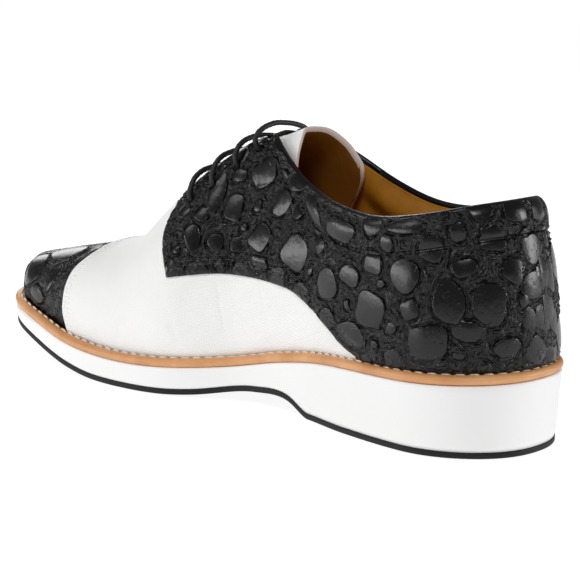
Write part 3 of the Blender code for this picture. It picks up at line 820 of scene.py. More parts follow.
# Woven-plate calf: a clean matt white with a crossing thread pattern, drawn a little coarse so it shows.
# Its threads follow the warp and weft marks, which are in millimetres.
woven_calf = new_material("white_calf_woven_plate")
warp_mark = add_node(woven_calf, "ShaderNodeAttribute", {"attribute_name": "warp"})
weft_mark = add_node(woven_calf, "ShaderNodeAttribute", {"attribute_name": "weft"})
place = add_node(woven_calf, "ShaderNodeCombineXYZ", inputs={
    "X": warp_mark.outputs["Fac"], "Y": weft_mark.outputs["Fac"]})
warp = add_node(woven_calf, "ShaderNodeTexWave", {"bands_direction": "X"}, {
    "Vector": place.outputs["Vector"], "Scale": WAVE_UNIT / WEAVE_PITCH,
    "Distortion": 1.2, "Detail Scale": 0.6})
weft = add_node(woven_calf, "ShaderNodeTexWave", {"bands_direction": "Y"}, {
    "Vector": place.outputs["Vector"], "Scale": WAVE_UNIT / WEAVE_PITCH,
    "Distortion": 1.2, "Detail Scale": 0.6})
weave = add_node(woven_calf, "ShaderNodeMath", {"operation": "ADD"}, {
    0: warp.outputs["Fac"], 1: weft.outputs["Fac"]})
slub = add_node(woven_calf, "ShaderNodeTexNoise", inputs={
    "Vector": place.outputs["Vector"], "Scale": 1 / SLUB_SIZE, "Detail": 3.0})
tint = add_node(woven_calf, "ShaderNodeMix", {"data_type": "RGBA"}, {
    "Factor": slub.outputs["Fac"], 6: linear("#EFEFEE"), 7: linear("#F8F8F7")})
bump = add_node(woven_calf, "ShaderNodeBump", inputs={
    "Height": weave.outputs[0], "Strength": 0.45, "Distance": 0.00015})
shader = add_node(woven_calf, "ShaderNodeBsdfPrincipled", inputs={
    "Base Color": tint.outputs[2], "Roughness": 0.55, "IOR": 1.45, "Normal": bump.outputs["Normal"]})
add_node(woven_calf, "ShaderNodeOutputMaterial", inputs={"Surface": shader.outputs["BSDF"]})

# Bleached cotton thread: plain white, a little brighter than the calf
cotton_thread = new_material("bleached_cotton_thread")
shader = add_node(cotton_thread, "ShaderNodeBsdfPrincipled", inputs={
    "Base Color": linear("#F4F4F2"), "Roughness": 0.7})
add_node(cotton_thread, "ShaderNodeOutputMaterial", inputs={"Surface": shader.outputs["BSDF"]})


def run_along(grid):
    """Distances along each column of a grid, from its first row."""
    return run_up(grid.swapaxes(0, 1)).swapaxes(0, 1)


def contour(grid, field, level, rows):
    """The points up a grid's rows where a field first reaches a level."""
    line = []
    for i in rows:
        reached = np.flatnonzero(field[i] >= level)
        j = max(int(reached[0]), 1) if len(reached) else 0
        if j:
            t = (level - field[i, j - 1]) / max(field[i, j] - field[i, j - 1], TINY)
            line.append(grid[i, j - 1] + (grid[i, j] - grid[i, j - 1]) * np.clip(t, 0, 1))
    return np.array(line)


def vamp_sheet(side):
    """The vamp's grid on the last, its shares, which rows reach the ridge, and its girth from there down."""
    t = np.linspace(0, 1, VAMP_ROWS)[:, None]
    climb = np.linspace(0, 1, VAMP_COLUMNS)[None, :]
    row_share = VAMP_START + (cap_line(side, 1.0) - VAMP_START) * t
    collar_edge = collar_rise(side, row_share, VAMP_BELOW_COLLAR)
    past_corner = ease(row_share, THROAT_TOP, THROAT_TOP + VAMP_CORNER_RUN)
    back_from_edge = VAMP_THROAT_BACK + VAMP_CORNER_BACK * (1 - past_corner)
    top = np.where(row_share < THROAT_TOP, collar_edge, facing_rise(side, row_share, back_from_edge))
    rise = top * climb
    share = VAMP_START + (cap_line(side, rise) - VAMP_START) * t
    wall = last(side, share, rise)
    all_up = np.linspace(0, 1, GIRTH_STEPS)[None, :]
    whole = run_up(last(side, np.repeat(row_share, GIRTH_STEPS, axis=1), all_up))[:, -1:]
    return wall, share, (top > 1 - TINY)[:, 0], side * (whole - run_up(wall))


def meet_at_ridge(normals, joined):
    """Share the normals of two sides along the ridge, where their sheets are joined."""
    ridge = unit(normals[MEDIAL][:, -1] + normals[LATERAL][:, -1])
    for normal in normals.values():
        normal[joined, -1] = ridge[joined]


walls = {}
shares = {}
normals = {}
girths = {}
for side in (MEDIAL, LATERAL):
    walls[side], shares[side], joined, girths[side] = vamp_sheet(side)
    normals[side] = outwards(walls[side], side)
meet_at_ridge(normals, joined)
sheets = []
warps = []
wefts = []
seams = {row: [] for row in CAP_STITCH_ROWS}
for side in (MEDIAL, LATERAL):
    wall, normal = walls[side], normals[side]
    to_front = run_along(wall)[-1:] - run_along(wall)
    lift = VAMP_STAND + VAMP_LIFT * (1 - ease(to_front, 0, VAMP_LIFT_WIDTH))
    for row in CAP_STITCH_ROWS:
        lift = lift - CAP_STITCH_GROOVE * np.exp(-((to_front - row) / CAP_STITCH_GROOVE_WIDTH) ** 2)
    lift = lift - VAMP_EDGE_DROP * (1 - ease(to_front, 0, VAMP_EDGE_ROUND)) - crease_depth(side, wall)
    face = wall + normal * lift[..., None]
    back = wall + normal * (lift - VAMP_THICKNESS)[..., None]
    hemmed = [with_hem(grid, shares[side]) for grid in (face, back)]
    sheets.append(Sheet(*hemmed, side == MEDIAL, joined, False))
    warps.append(np.pad(shares[side] * LENGTH, ((0, 0), (1, 0)), "edge"))
    wefts.append(np.pad(girths[side], ((0, 0), (1, 0)), "edge"))
    for row in CAP_STITCH_ROWS:
        seam = contour(face.swapaxes(0, 1)[:, ::-1], to_front.T[:, ::-1], row, range(face.shape[1]))
        seam_out = contour(normal.swapaxes(0, 1)[:, ::-1], to_front.T[:, ::-1], row, range(face.shape[1]))
        seams[row].append((seam, seam_out))
make_leather("vamp", sheets, woven_calf, ["upper"], BACK_STEP,
             {"warp": warps, "weft": wefts})
for k, row in enumerate(CAP_STITCH_ROWS):
    (medial, medial_out), (lateral, lateral_out) = seams[row]
    path = np.concatenate([medial, lateral[-2::-1]])
    facing_out = np.concatenate([medial_out, lateral_out[-2::-1]])
    sew(f"cap_stitches_{k + 1}", path, facing_out, CAP_STITCH_PITCH, CAP_STITCH_LENGTH,
        FINE_THREAD_RADIUS, cotton_thread)

# Toe cap
# Black calf pressed with a reptile-scale plate and glazed, lasted over the toe puff under the vamp's edge.
# Its plates are large and smooth over the tip, with wrinkled leather between them.
CAP_STAND = 0.1
CAP_THICKNESS = 1.0
CAP_TUCK = 0.028
CAP_TIP = 0.9993
CAP_RELIEF = 0.75
CAP_FOLDS = (1.4, 0.35)
CAP_SMOOTH = 0.5
CAP_CROWDING = 1.6
CAP_ROWS = 129
CAP_COLUMNS = 128
CAP_TIP_ROWS = 9
CAP_CALM = 2.0
CAP_CALM_STAND = 0.2
CAP_COVERED = (9.0, 12.0)
PLATE_SQUARENESS = 2.3
PLATE_HEIGHT = 0.25
PLATE_DOME = 0.4
PLATE_LEAN = 0.2
PLATE_WAVER = 0.045
PLATE_SHOULDER = (-0.7, 0.1)
PLATE_REACH = 10.0
FAR_FROM_PLATES = 12.0
RING_LIMITS = (-1.0, 9.0)
WRINKLE_HEIGHT = 0.8
WRINKLE_CRACK = 0.35
WRINKLE_CRACK_WIDTH = 0.3
WRINKLE_FLOOR = -0.5
WRINKLE_SIZE = 3.0
WRINKLE_DRAW = 1.5
CREASE_SIZE = 3.0
CREASE_DRAW = 1.6
CREASE_PART = 0.5
FOLD_SIZE = 7.0
FOLD_EDGE = 0.22
PLATE_SMOOTHNESS = 0.95
FOLD_DEPTH = 0.4
FOLD_WIDTH = 0.8
GRAIN_SIZE = 3.0
GRAIN_PART = 0.12
PLATE_SPACING = 1.7
PLATE_TRIES = 400
PLATE_STRETCH = (0.85, 1.2)
PLATE_TURN = 0.5
Plate = namedtuple("Plate", "share rise half_along half_up tilt")

# A groove and two low rings run round each plate: height, distance off its rim and half width
PLATE_RINGS = ((-0.6, 0.4, 0.45), (0.38, 1.2, 0.4), (0.3, 2.7, 0.5))

# The cap's plates, alike on both sides; a tilt leans the top of a plate towards the heel, in degrees
CAP_PLATES = (
    Plate(0.948, 0.45, 8.5, 9.5, 0.0),
    Plate(0.893, 0.80, 12.0, 8.0, 8.0),
    Plate(0.880, 0.36, 3.0, 8.5, 22.0),
    Plate(0.918, 0.12, 7.0, 4.6, 10.0),
)


def place_plates(side, wall, normal, charted, radii, seed):
    """Plates on a sheet: the charted ones, then others strewn where there is room, from big to small."""
    random = np.random.default_rng(seed)
    flat = wall.reshape(-1, 3)
    out = normal.reshape(-1, 3)
    forward = unit(np.gradient(wall, axis=0).reshape(-1, 3))
    spots = []
    for plate in charted:
        away = np.linalg.norm(flat - last(side, plate.share, plate.rise), axis=-1)
        spots.append((int(away.argmin()), plate.half_along, plate.half_up, np.radians(plate.tilt)))
    for radius in radii:
        for spot in random.integers(len(flat), size=PLATE_TRIES):
            taken = np.array([(*flat[s[0]], np.sqrt(s[1] * s[2])) for s in spots]).reshape(-1, 4)
            room = np.linalg.norm(taken[:, :3] - flat[spot], axis=-1) - taken[:, 3]
            if len(room) == 0 or room.min() > radius + PLATE_SPACING:
                stretch = random.uniform(*PLATE_STRETCH)
                tilt = random.uniform(-PLATE_TURN, PLATE_TURN)
                spots.append((spot, radius * stretch, radius / stretch, tilt))
    plates = []
    for spot, half_along, half_up, tilt in spots:
        upward = np.cross(out[spot], forward[spot]) * side
        upward *= np.sign(upward[2]) or 1.0
        wide = forward[spot] * np.cos(tilt) + upward * np.sin(tilt)
        tall = upward * np.cos(tilt) - forward[spot] * np.sin(tilt)
        lean = random.normal(0.0, PLATE_LEAN, 2)
        turns = random.uniform(0, 2 * np.pi, 3)
        size = np.sqrt(half_along * half_up)
        plates.append((flat[spot], wide / half_along, tall / half_up, size, lean, turns))
    return plates


def search_tree(points):
    """A tree that finds the nearest of some points."""
    tree = KDTree(len(points))
    for k, point in enumerate(points):
        tree.insert(point, k)
    tree.balance()
    return tree


def emboss(wall, plates, seed, squeeze=(1.0, 1.0)):
    """A sheet's relief, how far each of its points is on a plate's smooth top, and how far it is off a rim.

    The wrinkles between plates are rounded cells drawn out round them; a squeeze narrows them along and up.
    """
    random = np.random.default_rng(seed)
    flat = wall.reshape(-1, 3)
    outside = np.full(len(flat), FAR_FROM_PLATES)
    second = np.full(len(flat), FAR_FROM_PLATES)
    crown = np.zeros(len(flat))
    for centre, wide, tall, size, lean, turns in plates:
        offset = flat - centre
        near = np.flatnonzero((offset ** 2).sum(-1) < (2 * size + PLATE_REACH) ** 2)
        u = offset[near] @ wide
        v = offset[near] @ tall
        reach = (np.abs(u) ** PLATE_SQUARENESS + np.abs(v) ** PLATE_SQUARENESS) ** (1 / PLATE_SQUARENESS)
        bearing = np.arctan2(v, u)
        reach *= 1 + sum(PLATE_WAVER * np.sin((k + 2) * bearing + turn) for k, turn in enumerate(turns))
        rim = (reach - 1) * size
        held = outside[near]
        second[near] = np.minimum(second[near], np.maximum(held, rim))
        outside[near] = np.minimum(held, rim)
        domed = PLATE_DOME * (1 - np.clip(reach, 0, 1) ** 2) + u * lean[0] + v * lean[1]
        crown[near] = np.where(rim < held, domed, crown[near])
    area = np.linalg.norm(np.cross(np.gradient(wall, axis=0), np.gradient(wall, axis=1)), axis=-1)
    chance = area.ravel() / area.sum()
    count = int(area.sum() * squeeze[0] * squeeze[1] / WRINKLE_SIZE ** 2)
    seeds = random.choice(len(flat), count, replace=False, p=chance)
    spread = np.column_stack([
        run_along(wall).ravel() * squeeze[0], run_up(wall).ravel() * squeeze[1], outside * WRINKLE_DRAW])
    tree = search_tree(spread[seeds])
    nearest = np.array([[hit[2] for hit in tree.find_n(p, 2)] for p in spread])
    apart = nearest[:, 1] - nearest[:, 0]
    wrinkle = WRINKLE_HEIGHT * (0.5 - (nearest[:, 0] / WRINKLE_SIZE) ** 2)
    wrinkle -= WRINKLE_CRACK * np.exp(-apart / WRINKLE_CRACK_WIDTH)
    wrinkle -= FOLD_DEPTH * np.exp(-((second - outside) / FOLD_WIDTH) ** 2)
    wrinkle = np.maximum(wrinkle, WRINKLE_FLOOR)
    on_plate = 1 - ease(outside, *PLATE_SHOULDER)
    relief = on_plate * (PLATE_HEIGHT + crown) + (1 - on_plate) * wrinkle
    for height, off_rim, half_width in PLATE_RINGS:
        relief += height * np.exp(-((outside - off_rim) / half_width) ** 2)
    return [field.reshape(wall.shape[:2]) for field in (relief, on_plate, np.clip(outside, *RING_LIMITS))]


# Glazed plate-embossed calf: near black, smooth and shining on its plates, with folds and creases between.
# They flow round the plates; their troughs stay dull and are coloured darker as painted shade, and their
# tops shine.
glazed_calf = new_material("black_calf_glazed_scale_plate")
place = add_node(glazed_calf, "ShaderNodeTexCoord")
plate_mark = add_node(glazed_calf, "ShaderNodeAttribute", {"attribute_name": "plate"})
ring_mark = add_node(glazed_calf, "ShaderNodeAttribute", {"attribute_name": "ring"})
drawn = add_node(glazed_calf, "ShaderNodeMath", {"operation": "MULTIPLY"}, {
    0: ring_mark.outputs["Fac"], 1: CREASE_DRAW / 1000})
creases = add_node(glazed_calf, "ShaderNodeTexNoise", {
    "noise_dimensions": "4D", "noise_type": "RIDGED_MULTIFRACTAL"}, {
    "Vector": place.outputs["Object"], "W": drawn.outputs[0], "Scale": per_metre(CREASE_SIZE),
    "Detail": 1.0, "Roughness": 0.4, "Offset": 1.0, "Gain": 1.0})
rounded = add_node(glazed_calf, "ShaderNodeMapRange", inputs={
    "Value": creases.outputs["Fac"], "From Min": 0.5, "From Max": 1.3,
    "To Min": CREASE_PART, "To Max": 0.0})
folds = add_node(glazed_calf, "ShaderNodeTexVoronoi", {
    "voronoi_dimensions": "4D", "feature": "DISTANCE_TO_EDGE"}, {
    "Vector": place.outputs["Object"], "W": drawn.outputs[0], "Scale": per_metre(FOLD_SIZE)})
rolled = add_node(glazed_calf, "ShaderNodeMapRange", {"interpolation_type": "SMOOTHERSTEP"}, {
    "Value": folds.outputs["Distance"], "From Max": FOLD_EDGE, "To Max": 1 - CREASE_PART})
ground = add_node(glazed_calf, "ShaderNodeMath", {"operation": "ADD"}, {
    0: rounded.outputs["Result"], 1: rolled.outputs["Result"]})
smooth = add_node(glazed_calf, "ShaderNodeMath", {"operation": "MULTIPLY"}, {
    0: plate_mark.outputs["Fac"], 1: PLATE_SMOOTHNESS})
top = add_node(glazed_calf, "ShaderNodeMath", {"operation": "MAXIMUM"}, {
    0: ground.outputs[0], 1: smooth.outputs[0]})
grain = add_node(glazed_calf, "ShaderNodeTexNoise", inputs={
    "Vector": place.outputs["Object"], "Scale": per_metre(GRAIN_SIZE), "Detail": 4.0})
height = add_node(glazed_calf, "ShaderNodeMath", {"operation": "MULTIPLY_ADD"}, {
    0: grain.outputs["Fac"], 1: GRAIN_PART, 2: top.outputs[0]})
bump = add_node(glazed_calf, "ShaderNodeBump", inputs={
    "Height": height.outputs[0], "Strength": 1.0, "Distance": 0.0011})
# Painted shade: the colour is darkest in the troughs of the creases and folds, and lightest on the plates
# and crests
tint = add_node(glazed_calf, "ShaderNodeMix", {"data_type": "RGBA"}, {
    "Factor": top.outputs[0], 6: linear("#030303"), 7: linear("#0B0B0C")})
gloss = add_node(glazed_calf, "ShaderNodeMapRange", inputs={
    "Value": top.outputs[0], "To Min": 0.6, "To Max": 0.24})
shader = add_node(glazed_calf, "ShaderNodeBsdfPrincipled", inputs={
    "Base Color": tint.outputs[2], "Roughness": gloss.outputs["Result"], "Specular IOR Level": 0.42,
    "Normal": bump.outputs["Normal"]})
add_node(glazed_calf, "ShaderNodeOutputMaterial", inputs={"Surface": shader.outputs["BSDF"]})

t = 1 - (1 - np.linspace(0, 1, CAP_ROWS)[:, None]) ** CAP_CROWDING
climb = np.linspace(0, 1, CAP_COLUMNS)[None, :]
tip = 1 - (1 - CAP_TIP) * np.linspace(1, 0, CAP_TIP_ROWS)[1:, None] ** 2 + np.zeros_like(climb)
walls = {}
normals = {}
shares = {}
for side in (MEDIAL, LATERAL):
    start = cap_line(side, climb) - CAP_TUCK
    shares[side] = np.concatenate([start + (CAP_TIP - start) * t, tip])
    walls[side] = last(side, shares[side], np.repeat(climb, len(shares[side]), axis=0))
    normals[side] = outwards(walls[side], side)
    normals[side][-1] = (0.0, 1.0, 0.0)
joined = np.ones(len(shares[MEDIAL]), bool)
meet_at_ridge(normals, joined)
sheets = []
marks = {"plate": [], "ring": []}
for side in (MEDIAL, LATERAL):
    wall, normal = walls[side], normals[side]
    plates = place_plates(side, wall, normal, CAP_PLATES, (), seed=11 + side)
    relief, on_plate, ring = emboss(wall, plates, seed=21 + side, squeeze=CAP_FOLDS)
    on_plate = np.maximum(on_plate, CAP_SMOOTH)
    to_ridge = run_up(wall)[:, -1:] - run_up(wall)
    to_tip = run_along(wall)[-1:] - run_along(wall)
    calm = ease(to_ridge, 0.0, CAP_CALM) * ease(to_tip, 0.0, CAP_CALM) * ease(run_along(wall), *CAP_COVERED)
    stand = CAP_STAND + CAP_RELIEF * relief * calm + CAP_CALM_STAND * (1 - calm)
    face = wall + normal * stand[..., None]
    back = wall + normal * (CAP_STAND - CAP_THICKNESS)
    hemmed = [with_hem(grid, shares[side]) for grid in (face, back)]
    sheets.append(Sheet(*hemmed, side == MEDIAL, joined, False))
    marks["plate"].append(np.pad(on_plate, ((0, 0), (1, 0)), "edge"))
    marks["ring"].append(np.pad(run_along(wall) + ring, ((0, 0), (1, 0)), "edge"))
make_leather("toe_cap", sheets, glazed_calf, step=BACK_STEP, marks=marks)

# Quarters
# Two black plate-embossed panels, lapped over the vamp and sewn with two rows of thread, open at the throat.
# The collar is turned over a soft pad and stitched through below it; the lace holes are plain punched holes.
QUARTER_STAND = 1.6
QUARTER_LEAST = 0.45
QUARTER_BACK = 0.1
COLLAR_BACK = -1.3
LOWER_EDGE = {
    "share": (0.226, 0.246, 0.280, 0.324, 0.367, 0.415, 0.473, 0.521, 0.565, 0.598),
    "height": (34.2, 36.4, 42.4, 49.7, 54.8, 56.7, 57.3, 56.9, 55.1, 53.3),
}
QUARTER_FRONT_BOW = 0.018
CORNER_CUT = 0.06
CORNER_WIDTH = 0.009
CORNER_AHEAD = 0.004
QUARTER_FOOT = 0.6
QUARTER_PATH_RISE = 0.25
QUARTER_GRID = (481, 161)
QUARTER_TRIALS = 1500
BAND = {
    "share": (0.00, 0.30, 0.36, 0.40, 0.44, 0.47),
    "width": (14.5, 14.0, 12.0, 9.0, 5.0, 2.0),
}
BAND_BULGE = 1.3
BAND_POWER = 0.8
SEAM_DEPTH = 0.8
SEAM_HALF_WIDTH = 0.7
EDGE_ROUND = 1.1
EDGE_DROP = 0.6
FREE_EDGE_START = 0.21
HEM_SHINE = 0.3
HEM_ZONE = (3.5, 8.0)
HEM_RELIEF = 0.25
HEM_WIDTH = 2.2
RIM_ZONE = (0.8, 3.6)
RIM_WIDTH = 4.5
COLLAR_FADE = (THROAT_TOP - 0.03, THROAT_TOP + 0.01)
COLLAR_ROUND = 2.4
COLLAR_DROP = 1.5
COLLAR_TURN = 0.999
COLLAR_TURN_IN = 1.2
COLLAR_BACK_ZONE = (1.0, 6.0)
LAP_START = 0.235
LAP_GROOVE = 0.2
LAP_GROOVE_WIDTH = 0.6
LAP_STITCH_ROWS = (4.4, 6.3)
LAP_STITCH_PITCH = 2.6
LAP_STITCH_LENGTH = 2.0
LAP_STITCH_START = 0.24
LAP_STITCH_COLUMN = 20
COLLAR_STITCH_SINK = 0.2
COLLAR_STITCH_START = 0.03
COLLAR_STITCH_END = 0.445
EYELETS = ((0.486, 0.74), (0.520, 0.68), (0.555, 0.63), (0.591, 0.62))
EYELET_DEPTH = 1.2
EYELET_RADIUS = 1.5
EYELET_LIP = 0.2
EYELET_LIP_RADIUS = 2.6
EYELET_LIP_WIDTH = 0.7

# The main plates of the medial quarter; smaller ones are strewn between them
QUARTER_PLATES = (
    Plate(0.460, 0.572, 6.4, 7.9, 20.0),
    Plate(0.506, 0.467, 5.0, 7.2, 35.0),
    Plate(0.443, 0.317, 6.2, 7.1, 10.0),
    Plate(0.363, 0.218, 8.7, 8.1, 15.0),
    Plate(0.542, 0.572, 4.2, 9.9, 40.0),
    Plate(0.518, 0.771, 4.0, 7.5, 35.0),
    Plate(0.259, 0.225, 9.2, 5.3, 0.0),
    Plate(0.282, 0.108, 7.4, 7.0, 10.0),
    Plate(0.191, 0.141, 5.7, 5.0, 10.0),
    Plate(0.230, 0.022, 8.4, 5.5, 0.0),
    Plate(0.192, 0.057, 8.9, 7.7, 10.0),
    Plate(0.593, 0.561, 4.5, 3.1, 0.0),
    Plate(0.564, 0.412, 4.5, 6.3, 10.0),
    Plate(0.525, 0.359, 4.3, 4.6, 0.0),
    Plate(0.438, 0.236, 5.2, 3.3, 0.0),
    Plate(0.325, 0.308, 10.6, 3.9, 35.0),
    Plate(0.407, 0.404, 5.2, 7.0, 5.0),
    Plate(0.135, 0.119, 7.1, 7.2, 0.0),
    Plate(0.070, 0.077, 6.9, 8.7, 0.0),
    Plate(0.028, 0.075, 6.9, 9.3, 0.0),
    Plate(0.095, 0.021, 9.0, 7.6, 0.0),
    Plate(0.141, 0.223, 8.5, 3.5, 0.0),
    Plate(0.062, 0.211, 3.5, 4.3, 0.0),
    Plate(0.049, 0.036, 6.6, 4.7, 0.0),
)
MEDIAL_FILL = (5.4, 4.6, 3.8, 3.0, 2.4)
LATERAL_FILL = (7.6, 6.6, 5.6, 4.6, 3.6, 2.8)


def quarter_foot_rise(share):
    """The lower edge: down at the welt round the heel, then up over the vamp."""
    start, end = LOWER_EDGE["share"][0], LOWER_EDGE["share"][-1]
    floor = feather(share) + QUARTER_FOOT
    edge = np.maximum(along(LOWER_EDGE, "height", np.clip(share, start, end)), floor)
    return rise_at_height(share, np.where(share < start, floor, edge))


def quarter_top_rise(side, share):
    """The rise of a quarter's top edge: the collar, then a rounded corner, then the facing."""
    facing = rise_at_gap(side, share, along(FACING, "half_gap", np.maximum(share, THROAT_TOP)))
    corner = CORNER_CUT * np.exp(-((share - THROAT_TOP - CORNER_AHEAD) / CORNER_WIDTH) ** 2)
    return np.where(share < THROAT_TOP, collar_rise(side, share), facing) - corner


def quarter_wall(side, rows, columns):
    """The grid of a quarter on the last: its rows evenly spaced from the back seam to the front edge."""
    end = FACING["share"][-1]
    even = np.linspace(0, 1, QUARTER_TRIALS)
    trial = np.unique(np.concatenate([end * even ** 3, end * even]))
    travelled = travel(last(side, trial, QUARTER_PATH_RISE))
    high = np.interp(np.linspace(0, travelled[-1], rows), travelled, trial)[:, None]
    climb = np.linspace(0, 1, columns)[None, :]
    forward = np.clip((high - THROAT_TOP) / (end - THROAT_TOP), 0, 1)
    low = np.where(high < THROAT_TOP, high, THROAT_TOP + forward * (LOWER_EDGE["share"][-1] - THROAT_TOP))
    share = low + (high - low) * climb + QUARTER_FRONT_BOW * forward ** 3 * np.sin(np.pi * climb)
    foot = quarter_foot_rise(low)
    rise = foot + (quarter_top_rise(side, high) - foot) * climb
    return last(side, share, rise), share


def from_line(points, line):
    """Distances of a grid's points from a line of points."""
    tree = search_tree(line)
    flat = points.reshape(-1, 3)
    return np.array([tree.find(p)[2] for p in flat]).reshape(points.shape[:2])


# Waxed polyester thread: black thread coloured dark grey, which paints in the grey sheen it shows against
# the black calf; a little shiny
grey_sheen_thread = new_material("waxed_polyester_thread")
shader = add_node(grey_sheen_thread, "ShaderNodeBsdfPrincipled", inputs={
    "Base Color": linear("#4A4A4A"), "Roughness": 0.5})
add_node(grey_sheen_thread, "ShaderNodeOutputMaterial", inputs={"Surface": shader.outputs["BSDF"]})

for side in (MEDIAL, LATERAL):
    wall, share = quarter_wall(side, *QUARTER_GRID)
    normal = outwards(wall, side)
    normal[0, :, 0] = 0
    normal = unit(normal)
    charted, fill = (QUARTER_PLATES, MEDIAL_FILL) if side == MEDIAL else ((), LATERAL_FILL)
    plates = place_plates(side, wall, normal, charted, fill, seed=31 + side)
    relief, on_plate, ring = emboss(wall, plates, seed=41 + side)
    to_top = from_line(wall, wall[:, -1])
    to_foot = from_line(wall, wall[:, 0])
    to_front = from_line(wall, wall[-1])
    band_width = along(BAND, "width", np.minimum(share, THROAT_TOP))
    to_cut = np.minimum(to_front, to_foot)
    on_collar = 1 - ease(share, *COLLAR_FADE)
    on_plate = on_plate * (HEM_SHINE + (1 - HEM_SHINE) * ease(to_cut, *HEM_ZONE))
    on_plate = np.maximum(on_plate, on_collar * (1 - ease(to_top, *RIM_ZONE)))
    band = np.sin(np.pi * np.clip(to_top / band_width, 0, 1)) ** BAND_POWER
    seam = np.exp(-((to_top - band_width) / SEAM_HALF_WIDTH) ** 2)
    calm = (HEM_RELIEF + (1 - HEM_RELIEF) * ease(to_cut, 0.0, HEM_WIDTH)) * ease(to_top, 0.0, RIM_WIDTH)
    stand = QUARTER_STAND + relief * calm + on_collar * (BAND_BULGE * band - SEAM_DEPTH * seam)
    for row in LAP_STITCH_ROWS:
        stand = stand - LAP_GROOVE * np.exp(-((to_cut - row) / LAP_GROOVE_WIDTH) ** 2) * (share > LAP_START)
    for eyelet in EYELETS:
        hole = np.linalg.norm(wall - last(side, *eyelet), axis=-1)
        stand = stand - EYELET_DEPTH * np.exp(-(hole / EYELET_RADIUS) ** 4)
        stand = stand + EYELET_LIP * np.exp(-((hole - EYELET_LIP_RADIUS) / EYELET_LIP_WIDTH) ** 2)
    stand = np.maximum(stand, QUARTER_LEAST)
    cut = np.minimum(np.where(share > FREE_EDGE_START, to_foot, np.inf), to_front)
    stand = stand - EDGE_DROP * (1 - ease(cut, 0, EDGE_ROUND))
    turned = np.clip(1 - to_top / COLLAR_ROUND, 0, COLLAR_TURN)
    stand = stand - COLLAR_DROP * (1 - np.sqrt(1 - turned ** 2)) * on_collar
    stand = stand - EDGE_DROP * (1 - ease(to_top, 0, EDGE_ROUND)) * (1 - on_collar)
    face = wall + normal * stand[..., None]
    behind = QUARTER_BACK + (COLLAR_BACK - QUARTER_BACK) * on_collar * (1 - ease(to_top, *COLLAR_BACK_ZONE))
    back = wall + normal * behind[..., None]
    back[:, -1, 2] -= COLLAR_TURN_IN
    face[0, :, 0] = 0.0
    back[0, :, 0] = 0.0
    name = "quarter_" + SIDE_NAME[side]
    sheet = Sheet(face, back, side == MEDIAL, None, False)
    make_leather(name + "_panel", [sheet], glazed_calf, [name], BACK_STEP,
                 {"plate": [on_plate], "ring": [ring]})
    behind_front = to_front[:, LAP_STITCH_COLUMN] > LAP_STITCH_ROWS[-1] + 1
    lapped = np.flatnonzero((share[:, 0] > LAP_STITCH_START) & behind_front)
    for k, row in enumerate(LAP_STITCH_ROWS):
        path = contour(face, to_foot, row, lapped)
        facing_out = contour(normal, to_foot, row, lapped)
        sew(f"{name}_lap_stitches_{k + 1}", path, facing_out, LAP_STITCH_PITCH, LAP_STITCH_LENGTH,
            FINE_THREAD_RADIUS, grey_sheen_thread)
    collared = np.flatnonzero((share[:, -1] > COLLAR_STITCH_START) & (share[:, -1] < COLLAR_STITCH_END))
    below = (to_top - band_width)[:, ::-1]
    facing_out = contour(normal[:, ::-1], below, 0.0, collared)
    path = contour(face[:, ::-1], below, 0.0, collared) - COLLAR_STITCH_SINK * facing_out
    sew(name + "_collar_stitches", path, facing_out, LAP_STITCH_PITCH, LAP_STITCH_LENGTH,
        FINE_THREAD_RADIUS, grey_sheen_thread)

# Back strip
# A narrow strip of the same calf over the seam at the centre back, from the welt to the collar's stitching.
# It is thinned at its sides and cemented down over both quarters.
STRIP_HALF_WIDTH = 10.0
STRIP_STAND = 1.95
STRIP_RELIEF = 0.4
STRIP_BELOW_COLLAR = 14.0
STRIP_FILL = (6.0, 4.8, 3.6, 2.6)
STRIP_EDGE_DROP = 0.3
STRIP_EDGE_ROUND = 1.0
STRIP_BED = 0.6
STRIP_SEARCH = 0.05
STRIP_PATH_RISE = 0.15
STRIP_TRIALS = 400
STRIP_HALF_ROWS = 25
STRIP_COLUMNS = 141
climb = np.linspace(0, 1, STRIP_COLUMNS)[None, :]
halves = {}
for side in (MEDIAL, LATERAL):
    trial = STRIP_SEARCH * np.linspace(0, 1, STRIP_TRIALS) ** 3
    travelled = travel(last(side, trial, STRIP_PATH_RISE))
    share = np.interp(np.linspace(0, STRIP_HALF_WIDTH, STRIP_HALF_ROWS), travelled, trial)[:, None]
    top = collar_rise(side, share, STRIP_BELOW_COLLAR)
    foot = rise_at_height(share, feather(share) + QUARTER_FOOT)
    halves[side] = last(side, np.repeat(share, STRIP_COLUMNS, axis=1), foot + (top - foot) * climb)
wall = np.concatenate([halves[MEDIAL][::-1], halves[LATERAL][1:]])
normal = outwards(wall, LATERAL)
plates = place_plates(LATERAL, wall, normal, (), STRIP_FILL, seed=51)
relief, on_plate, ring = emboss(wall, plates, seed=52)
side_edge = np.minimum(run_along(wall), run_along(wall)[-1:] - run_along(wall))
stand = STRIP_STAND + STRIP_RELIEF * relief - STRIP_EDGE_DROP * (1 - ease(side_edge, 0, STRIP_EDGE_ROUND))
face = wall + normal * stand[..., None]
back = wall + normal * (QUARTER_STAND - STRIP_BED)
sheet = Sheet(face, back, False, None, False)
make_leather("back_strip", [sheet], glazed_calf, step=BACK_STEP,
             marks={"plate": [on_plate], "ring": [ring]})

